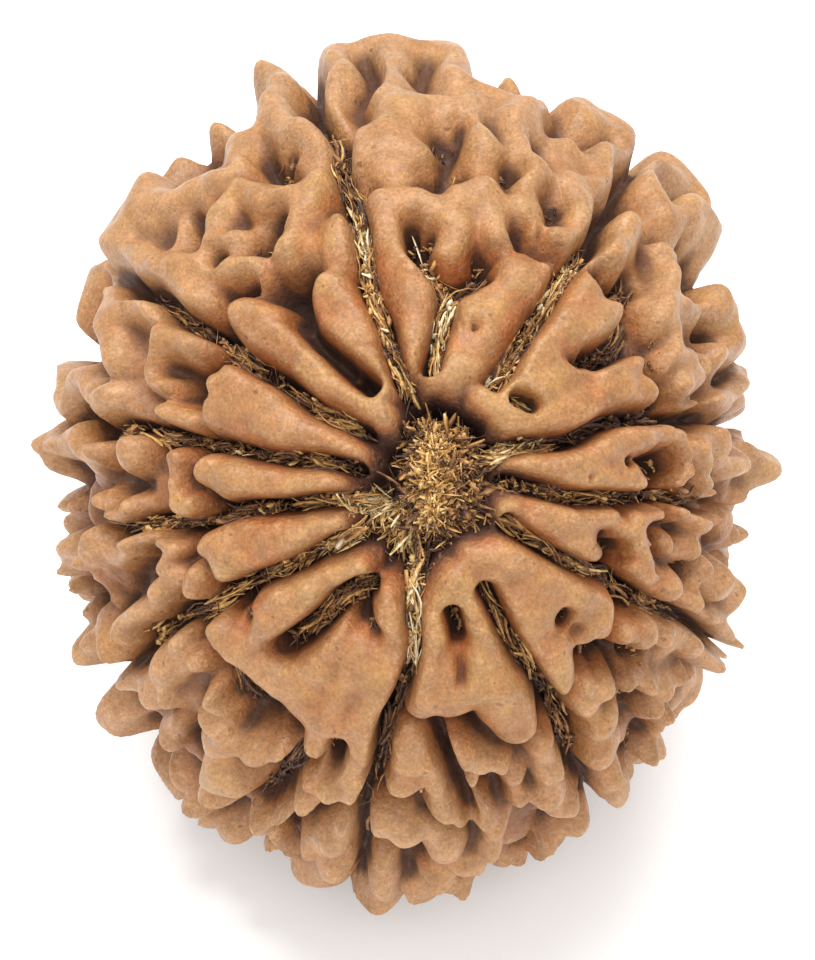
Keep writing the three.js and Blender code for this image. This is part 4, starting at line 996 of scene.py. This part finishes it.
def bump(tree, value, strength, distance, before=None):
    """A bump of a given depth in millimetres, on top of another one where there is one."""
    node = tree.nodes.new("ShaderNodeBump")
    node.inputs["Strength"].default_value = strength
    node.inputs["Distance"].default_value = distance * MM
    tree.links.new(value, node.inputs["Height"])
    if before is not None:
        tree.links.new(before, node.inputs["Normal"])
    return node.outputs["Normal"]


print("material helpers ready")

# %% Shell material
# Painted shade: the ramp darkens the shell the lower it lies, to nearly black at the groove floors.
SHELL_RAMP = [
    (0.00, (0.020, 0.009, 0.006)),
    (0.22, (0.050, 0.021, 0.010)),
    (0.42, (0.125, 0.049, 0.017)),
    (0.62, (0.225, 0.088, 0.027)),
    (0.82, (0.295, 0.123, 0.038)),
    (1.00, (0.330, 0.150, 0.050)),
]
GOLDEN = (0.365, 0.200, 0.062)
FLANK = (0.370, 0.105, 0.026)
DUSTY = (0.400, 0.214, 0.098)
# Near-black brown: painted shade in the hollows, and the colour of small dark specks in the skin.
SHADE_AND_PORE_BROWN = (0.050, 0.019, 0.010)
# Painted shade for the inner ends of the wedges, where they dip into the hollow round the pole.
INNER_END_SHADE = (0.070, 0.030, 0.027)
SCUFF = (0.500, 0.320, 0.180)
PLUG_BROWN = (0.300, 0.165, 0.055)


def product(tree, *factors):
    """Product of several factors."""
    result = factors[0]
    for factor in factors[1:]:
        result = calculated(tree, "MULTIPLY", result, factor)
    return result


def grey(tree, value):
    """A value as a grey, to multiply a colour with."""
    node = tree.nodes.new("ShaderNodeCombineColor")
    for channel in ("Red", "Green", "Blue"):
        tree.links.new(value, node.inputs[channel])
    return node.outputs["Color"]


def shell_colour(tree):
    """Colour by height, then golden and dusty patches, orange flanks, scuffed edges and painted shade.

    The painted shade darkens low places, hollows and the wedges' inner ends; small dark specks come last.
    """
    level, hollow, angle = (attribute(tree, name) for name in ("height", "hollow", "pole_angle"))
    # Height picks the ramp colour, so depth is painted darker; far from the pole the ramp is lifted a little.
    broken = calculated(tree, "ADD", ranged(tree, level, -2.3, 0.3),
                        ranged(tree, noise(tree, 1.1, 5.0, 0.6), 0.3, 0.7, -0.13, 0.13))
    outer = calculated(tree, "ADD", broken, ranged(tree, angle, 38, 52, 0.0, 0.24))
    colour = ramp(tree, outer, SHELL_RAMP)
    plug = product(tree, ranged(tree, angle, 12, 9), ranged(tree, level, -2.0, -1.6, 0.0, 0.8))
    colour = mixed(tree, plug, colour, PLUG_BROWN)
    tops = ranged(tree, level, -0.75, -0.1)
    golden = product(tree, ranged(tree, noise(tree, 2.1, 5.0, 0.6), 0.46, 0.62, 0.0, 0.6), tops)
    colour = mixed(tree, golden, colour, GOLDEN)
    near_pole = ranged(tree, angle, 50, 34, 0.15, 1.0)
    flank = product(tree, ranged(tree, level, 0.0, -0.4), ranged(tree, level, -1.9, -1.1), near_pole,
                    ranged(tree, noise(tree, 1.3, 4.0), 0.38, 0.58, 0.1, 0.85))
    colour = mixed(tree, flank, colour, FLANK)
    dust = product(tree, ranged(tree, noise(tree, 3.0, 6.0, 0.7), 0.38, 0.58, 0.05, 0.7),
                   ranged(tree, level, -1.3, -0.5), ranged(tree, angle, 30, 55, 0.3, 1.0))
    colour = mixed(tree, dust, colour, DUSTY)
    # Painted shade: the low inner ends of the wedges, next to the hollow round the pole, are darkened.
    inner = product(tree, ranged(tree, angle, 17.0, 11.5, 0.0, 0.85), ranged(tree, level, -0.15, -0.9))
    colour = mixed(tree, inner, colour, INNER_END_SHADE)
    # Painted shade: places lower than their surroundings are darkened towards near-black brown.
    colour = mixed(tree, ranged(tree, hollow, -0.03, -0.28, 0.0, 0.8), colour, SHADE_AND_PORE_BROWN)
    scuff = product(tree, ranged(tree, hollow, 0.08, 0.24, 0.0, 0.8),
                    ranged(tree, noise(tree, 0.18, 5.0, 0.7), 0.50, 0.64, 0.0, 0.45))
    colour = mixed(tree, scuff, colour, SCUFF)
    # Small dark specks in the skin, in the same near-black brown.
    colour = mixed(tree, ranged(tree, noise(tree, 0.30, 1.0), 0.70, 0.76, 0.0, 0.5), colour, SHADE_AND_PORE_BROWN)
    blotches = ranged(tree, noise(tree, 0.6, 5.0, 0.7), 0.3, 0.7, 0.78, 1.20)
    grain = ranged(tree, noise(tree, 0.11, 3.0, 0.7), 0.35, 0.65, 0.80, 1.20)
    return mixed(tree, 1.0, colour, grey(tree, product(tree, blotches, grain)), "MULTIPLY")


def shell_material():
    """Waxy satin skin with wrinkles and a fine grain."""
    material, tree, shader = new_material("seed_shell")
    tree.links.new(shell_colour(tree), shader.inputs["Base Color"])
    rough = calculated(tree, "ADD", ranged(tree, noise(tree, 0.7, 5.0), 0.3, 0.7, 0.36, 0.60),
                       ranged(tree, attribute(tree, "hollow"), 0.02, -0.15, 0.0, 0.3))
    tree.links.new(rough, shader.inputs["Roughness"])
    shader.inputs["Specular IOR Level"].default_value = 0.38
    shader.inputs["Coat Weight"].default_value = 0.10
    shader.inputs["Coat Roughness"].default_value = 0.28
    waves = bump(tree, noise(tree, 0.85, 4.0, 0.6), 0.7, 0.16)
    wrinkles = bump(tree, noise(tree, 0.33, 4.0, 0.65), 0.7, 0.08, waves)
    tree.links.new(bump(tree, noise(tree, 0.10, 3.0, 0.6), 0.6, 0.030, wrinkles), shader.inputs["Normal"])
    return material


seed.data.materials.append(shell_material())
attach(seed, "root")
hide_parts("seed")
print("shell dressed")

# %% [markdown]
# ## Dry fibre
# The flesh of the fruit leaves stringy fibre behind. It fills the grooves near the pole like golden straw
# and covers the plug with crumbs. Each strand is a thin three-sided tube that is bent a little, made for all
# strands at once: a row of middles, a direction at each, and three corners round it.

# %% Strands
STRAND_SIDES = 3
STRAND_TAPER = (0.12, 0.92)
STRAND_RAGGED = (0.5, 1.3)
STRAND_TWIST = 1.0


def strands(middles, widths, flatness, roll, rng):
    """Points and triangles of ragged, rolled tubes round rows of middles, thin at both ends and closed."""
    count, steps, _ = middles.shape
    along = unit(np.gradient(middles, axis=1))
    side = unit(np.cross(along, unit(middles)))
    upward = np.cross(side, along)
    turn = rng.normal(0, roll, (count, 1))
    turn = (turn + rng.normal(0, STRAND_TWIST, (count, 1)) * np.linspace(-1, 1, steps))[..., None]
    side, upward = np.cos(turn) * side + np.sin(turn) * upward, np.cos(turn) * upward - np.sin(turn) * side
    angles = np.arange(STRAND_SIDES) * 2 * math.pi / STRAND_SIDES
    taper = np.sin(np.linspace(*STRAND_TAPER, steps) * math.pi) ** 0.5
    width = taper * rng.uniform(*STRAND_RAGGED, (count, steps))
    ring = (side[:, :, None, :] * np.cos(angles)[None, None, :, None]
            + upward[:, :, None, :] * np.sin(angles)[None, None, :, None] * flatness[:, None, None, None])
    points = middles[:, :, None, :] + ring * (width * widths[:, None])[:, :, None, None] / 2
    base = np.arange(count)[:, None] * steps * STRAND_SIDES
    step, corner = np.meshgrid(np.arange(steps - 1), np.arange(STRAND_SIDES), indexing="ij")
    lower = (step * STRAND_SIDES + corner).ravel()
    lower_next = (step * STRAND_SIDES + (corner + 1) % STRAND_SIDES).ravel()
    walls = np.stack([lower, lower_next, lower_next + STRAND_SIDES, lower, lower_next + STRAND_SIDES,
                      lower + STRAND_SIDES], axis=1).reshape(-1, 3)
    last = (steps - 1) * STRAND_SIDES
    ends = np.array([[2, 1, 0], [last, last + 1, last + 2]])
    faces = (base[:, :, None] + np.concatenate([walls, ends])[None]).reshape(-1, 3)
    return points.reshape(-1, 3), faces


print("a strand has", STRAND_SIDES, "sides")

# %% [markdown]
# In a groove the strands lie roughly along it, cross each other at small angles and lift their ends. Where
# the fibre shows most is a list of stretches: a groove, the part of it by angle, how many strands and how
# bright they are. Each line of straw brings crumbs and a few hairs along, and each pit holds some crumbs.

# %% Where the fibre lies
STRETCHES = [
    (0, 11, 22, 130, 1.2), (6, 13, 20, 60, 1.4), (0, 22, 48, 70, 0.5), (1, 16, 30, 150, 1.1),
    (1, 30, 46, 190, 1.3), (2, 12, 30, 200, 1.0), (2, 30, 42, 130, 1.35), (2, 42, 62, 120, 0.9),
    (3, 12, 40, 110, 0.95), (3, 40, 60, 60, 0.8), (4, 12, 36, 100, 0.9), (4, 36, 60, 60, 0.85),
    (5, 12, 34, 110, 0.95), (5, 34, 60, 60, 0.9), (6, 14, 34, 90, 0.95), (6, 34, 60, 60, 0.8),
    (7, 11, 25, 190, 1.35), (7, 25, 60, 80, 0.6), (8, 17, 44, 80, 0.8), (8, 44, 60, 40, 0.7),
    (9, 13, 34, 130, 1.0), (9, 34, 60, 80, 0.8), (10, 12, 34, 90, 0.9), (10, 34, 60, 50, 0.8),
]
FURROW_STRETCHES = [(0, 110, 1.3), (1, 50, 0.8), (3, 110, 0.75), (6, 60, 0.95), (8, 60, 0.6), (9, 60, 0.7),
                    (10, 40, 0.5), (11, 40, 0.5), (12, 50, 0.4), (15, 20, 0.3)]
STRAW = {"length": (0.4, 1.7), "turn": 0.15, "width": (0.04, 0.21), "flatness": (0.12, 0.45), "share": 1.0}
CRUMBS = {"length": (0.10, 0.40), "turn": 0.9, "width": (0.06, 0.24), "flatness": (0.1, 0.4), "share": 1.2}
HAIRS = {"length": (0.8, 2.2), "turn": 1.0, "width": (0.012, 0.03), "flatness": (0.8, 1.0), "share": 0.1}
print("stretches", len(STRETCHES) + len(FURROW_STRETCHES), "pits", len(PITS))

# %% [markdown]
# Strands stand in tufts along their line. Painted shade makes a strand darker the lower it ends in its
# groove, and a tuft that chance favours is fuller and paler than its neighbours.

# %% Fibre in the grooves
STRAND_STEPS = 5
FIBRE_LOW = -2.0
FIBRE_HIGH = -0.95
FIBRE_GROUND = -0.85
FILLING = {"dark": 0.3, "bright": 0.7, "bare": 0.7, "tuft": 0.3}
# The height share of SHADES is painted shade: strands lower in their groove get a darker shade.
SHADES = {"least": 0.06, "height": 0.28, "chance": 0.55, "tuft": 0.50, "middle": 0.4}
STRAND_BEND = 0.5
STRAND_RISE = (-0.12, 0.30)
GROUND_GAP = 0.03
STRAW_SPREAD = 0.13
FURROW_SPREAD = 0.14
PIT_SPREAD = 0.35
PIT_REACH = 0.8
FIBRE_ROLL = 0.5
PIT_CRUMBS = 11
PIT_BRIGHTNESS = 0.85
TUFT_STRANDS = 12
TUFT_SPREAD = 0.24
HEADING_STEP = 0.2
PART_STEPS = 8
GROOVE_SEED = 11


def along_places(places, count, rng):
    """Places in tufts along a polyline, the way that it runs there, and a random number for each tuft."""
    nodes = places_on_egg(places)
    lengths = np.concatenate([[0.0], np.cumsum(np.linalg.norm(np.diff(nodes, axis=0), axis=1))])
    tufts = max(2, count // TUFT_STRANDS)
    tuft = rng.integers(0, tufts, count)
    spots = rng.uniform(0, lengths[-1], tufts)[tuft] + rng.normal(0, TUFT_SPREAD, count)
    spots = np.where((spots < 0) | (spots > lengths[-1]), rng.uniform(0, lengths[-1], count), spots)
    position, ahead, behind = (
        np.stack([np.interp(spots + step, lengths, nodes[:, axis]) for axis in range(3)], axis=1)
        for step in (0, HEADING_STEP, -HEADING_STEP))
    return position, unit(ahead - behind), rng.uniform(0, 1, tufts)[tuft]


def part_of(places, low, high):
    """The stretch of a groove between two angles, with its ends worked out between its places."""
    table = np.array([place[:2] for place in places], dtype=float)
    angles = np.linspace(low, high, PART_STEPS)
    bearings = np.interp(angles, table[:, 1], np.unwrap(table[:, 0], period=360))
    return [[bearing, angle] for bearing, angle in zip(bearings, angles)]


def strand_rows(places, count, rng, kind, brightness, spread):
    """Middles, widths, flatness and shades of one kind of strand along a line; painted darker low down."""
    count = max(1, round(count * kind["share"]))
    position, heading, tuft = along_places(places, count, rng)
    side = unit(np.cross(heading, unit(position)))
    angle = rng.normal(0, kind["turn"], count)[:, None]
    way = np.cos(angle) * heading + np.sin(angle) * side
    reach = rng.uniform(*kind["length"], count)[:, None, None]
    line = np.linspace(-0.5, 0.5, STRAND_STEPS)[None, :, None]
    start = position + side * rng.normal(0, spread, count)[:, None]
    bend = rng.normal(0, STRAND_BEND, count)[:, None, None] * reach * line ** 2
    ahead = unit(start[:, None, :] + way[:, None, :] * reach * line + side[:, None, :] * bend)
    ground = relief(unit(start))[1]
    share = rng.uniform(0, 1, count)
    filled = min(1.0, FILLING["dark"] + FILLING["bright"] * brightness)
    high = FIBRE_LOW + (FIBRE_HIGH - FIBRE_LOW) * filled * (FILLING["bare"] + FILLING["tuft"] * tuft)
    level = np.maximum(FIBRE_LOW + (high - FIBRE_LOW) * share, ground + GROUND_GAP)
    rise = rng.uniform(*STRAND_RISE, count)[:, None] * (line[:, :, 0] + 0.5)
    middles = ahead * (egg_radius(ahead) + level[:, None] + rise)[..., None]
    chance = rng.uniform(0, 1, count) ** 2
    # Painted shade: share is how high the strand lies in its groove, and a lower strand is darker.
    shade = SHADES["least"] + SHADES["height"] * share + SHADES["chance"] * chance
    shade = brightness * (shade + SHADES["tuft"] * (tuft - SHADES["middle"]))
    widths = rng.uniform(*kind["width"], count)
    flatness = rng.uniform(*kind["flatness"], count)
    kept = ground < FIBRE_GROUND
    return [column[kept] for column in (middles, widths, flatness, shade)]


def pit_line(places):
    """A short line down the seed through a pit of one place, or the pit's own line."""
    bearing, angle = places[0][:2]
    return places if len(places) > 1 else [[bearing, angle - PIT_REACH], [bearing, angle + PIT_REACH]]


def groove_fibre():
    """All strands of the grooves and furrows and the crumbs of the pits, with a shade for each corner."""
    rng = np.random.default_rng(GROOVE_SEED)
    lines = [(part_of(GROOVES[groove], low, high), count, brightness, STRAW_SPREAD)
             for groove, low, high, count, brightness in STRETCHES]
    lines += [(FURROWS[furrow][0], count, brightness, FURROW_SPREAD)
              for furrow, count, brightness in FURROW_STRETCHES]
    rows = [strand_rows(places, count, rng, kind, brightness, spread)
            for places, count, brightness, spread in lines for kind in (STRAW, CRUMBS, HAIRS)]
    rows += [strand_rows(pit_line(pit[0]), PIT_CRUMBS, rng, CRUMBS, PIT_BRIGHTNESS, PIT_SPREAD * pit[1])
             for pit in PITS]
    middles, widths, flatness, shade = (np.concatenate(column) for column in zip(*rows))
    points, faces = strands(middles, widths, flatness, FIBRE_ROLL, rng)
    return points, faces, np.repeat(shade, STRAND_STEPS * STRAND_SIDES)


fibre_points, fibre_faces, fibre_shade = groove_fibre()
groove_strands = add_mesh("groove_fibre", to_frame(fibre_points), fibre_faces, {"shade": fibre_shade})
print("groove strands", len(fibre_shade) // (STRAND_STEPS * STRAND_SIDES), "triangles", len(fibre_faces))

# %% [markdown]
# The plug is a heap of short flakes that point every way, golden in the middle and cream to the lower left,
# where longer strands run out between the wedges. Each group of flakes fills a ragged oval round its middle.

# %% Fibre of the pole
POLE_GROUPS = (
    {"count": 1500, "middle": (0.22, -0.05), "half": (1.35, 2.05), "lift": 0.45, "length": (0.10, 0.34),
     "width": (0.10, 0.28), "outward": 0.3, "radial": 0.25, "stray": 0.7, "shade": (-0.15, 0.5), "tip": 0.45,
     "below": 0.0},
    {"count": 700, "middle": (-0.12, 0.05), "half": (0.42, 1.85), "lift": 0.65, "length": (0.10, 0.32),
     "width": (0.10, 0.26), "outward": 0.3, "radial": 0.1, "stray": 0.7, "shade": (0.6, 0.85), "tip": 0.15,
     "below": 0.0},
    {"count": 800, "middle": (-0.4, -0.5), "half": (2.9, 2.7), "lift": 0.12, "length": (0.15, 0.6),
     "width": (0.05, 0.18), "outward": 0.0, "radial": 0.7, "stray": 0.7, "shade": (-0.25, 0.3), "tip": 0.3,
     "below": -1.2},
    {"count": 330, "middle": (-2.1, -0.85), "half": (0.95, 0.32), "lift": 0.75, "length": (0.25, 0.6),
     "width": (0.08, 0.22), "outward": 0.0, "radial": 1.0, "stray": 0.3, "shade": (0.7, 1.15), "tip": 0.0,
     "below": -0.9},
    {"count": 260, "middle": (-1.3, -1.75), "half": (0.5, 0.6), "lift": 0.7, "length": (0.15, 0.5),
     "width": (0.08, 0.22), "outward": 0.0, "radial": 0.9, "stray": 0.35, "shade": (0.6, 1.1), "tip": 0.0,
     "below": -0.9},
)
RAGGED_RIM = ((0.14, 3, 1), (0.10, 7, 0))
FLAKE_CURL = 0.8
FLAKE_FLATNESS = (0.1, 0.35)
FLAKE_ROLL = 1.2
FLAKE_SPREAD = (1, 1, 0.4)
ACROSS = (1, 1, 0)
POLE_SEED = 23


def pole_fibre():
    """Curled flakes on the plug, crumbs round it, cream strands lower left; painted light on their tips."""
    rng = np.random.default_rng(POLE_SEED)
    rows, shades, widths = [], [], []
    line = np.linspace(0, 1, STRAND_STEPS)[None, :, None]
    for group in POLE_GROUPS:
        count = group["count"]
        share, turn = np.sqrt(rng.uniform(0, 1, count)), rng.uniform(0, 2 * math.pi, count)
        ragged = sum((size * np.sin(bends * turn + shift) for size, bends, shift in RAGGED_RIM), 1)
        flat = (share * ragged)[:, None] * np.stack([np.cos(turn), np.sin(turn)], axis=1) * group["half"]
        ahead = unit(np.column_stack([flat + group["middle"], np.full(count, HALF_DEPTH)]))
        ground = relief(ahead)[1]
        kept = ground < group["below"]
        ahead, share, count = ahead[kept], share[kept], int(kept.sum())
        height = ground[kept] + group["lift"] * (1 - share ** 3) * rng.uniform(0, 1, count)
        base = ahead * (egg_radius(ahead) + height)[:, None]
        lean = unit(ahead * ACROSS) * group["radial"] + ahead * group["outward"]
        way = unit(rng.normal(0, group["stray"], (count, 3)) * FLAKE_SPREAD + lean)
        reach = rng.uniform(*group["length"], count)[:, None, None]
        curl = rng.normal(0, FLAKE_CURL, (count, 1, 3)) * reach * line ** 2
        rows.append(base[:, None, :] + way[:, None, :] * reach * line + curl)
        # Painted light and shade: a group's tip number makes each flake paler towards its tip and darker at
        # its base.
        shades.append(rng.uniform(*group["shade"], count)[:, None] + group["tip"] * line[:, :, 0])
        widths.append(rng.uniform(*group["width"], count))
    middles, shade, width = (np.concatenate(column) for column in (rows, shades, widths))
    flatness = rng.uniform(*FLAKE_FLATNESS, len(middles))
    points, faces = strands(middles, width, flatness, FLAKE_ROLL, rng)
    return points, faces, np.repeat(shade.ravel(), STRAND_SIDES)


pole_points, pole_faces, pole_shade = pole_fibre()
pole_flakes = add_mesh("pole_fibre", to_frame(pole_points), pole_faces, {"shade": pole_shade})
print("pole flakes", len(pole_shade) // (STRAND_STEPS * STRAND_SIDES), "triangles", len(pole_faces))

# %% [markdown]
# ## Colour of the fibre
# Dry fibre is matt and runs from brown through gold to cream, one shade to a strand. The shade is a number on
# the mesh, so the pattern can't slide. Besides each strand's own tone it carries painted shade and light:
# darker low in a groove and paler at a flake's tip.

# %% Fibre material
FIBRE_RAMP = [
    (0.0, (0.055, 0.028, 0.022)),
    (0.25, (0.150, 0.070, 0.036)),
    (0.5, (0.420, 0.200, 0.062)),
    (0.75, (0.660, 0.390, 0.120)),
    (0.9, (0.740, 0.560, 0.270)),
    (1.0, (0.800, 0.700, 0.470)),
]


def fibre_material():
    """A matt material whose colour goes by the shade of the strand."""
    material, tree, shader = new_material("dry_fibre")
    patches = ranged(tree, noise(tree, 0.16, 4.0), 0.3, 0.7, -0.2, 0.2)
    shade = calculated(tree, "ADD", attribute(tree, "shade"), patches)
    tree.links.new(ramp(tree, ranged(tree, shade, 0.0, 1.15), FIBRE_RAMP), shader.inputs["Base Color"])
    shader.inputs["Roughness"].default_value = 0.7
    tree.links.new(bump(tree, noise(tree, 0.08), 0.4, 0.02), shader.inputs["Normal"])
    return material


dry_fibre = fibre_material()
for piece in (groove_strands, pole_flakes):
    piece.data.materials.append(dry_fibre)
    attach(piece, "root")
print("fibre dressed")
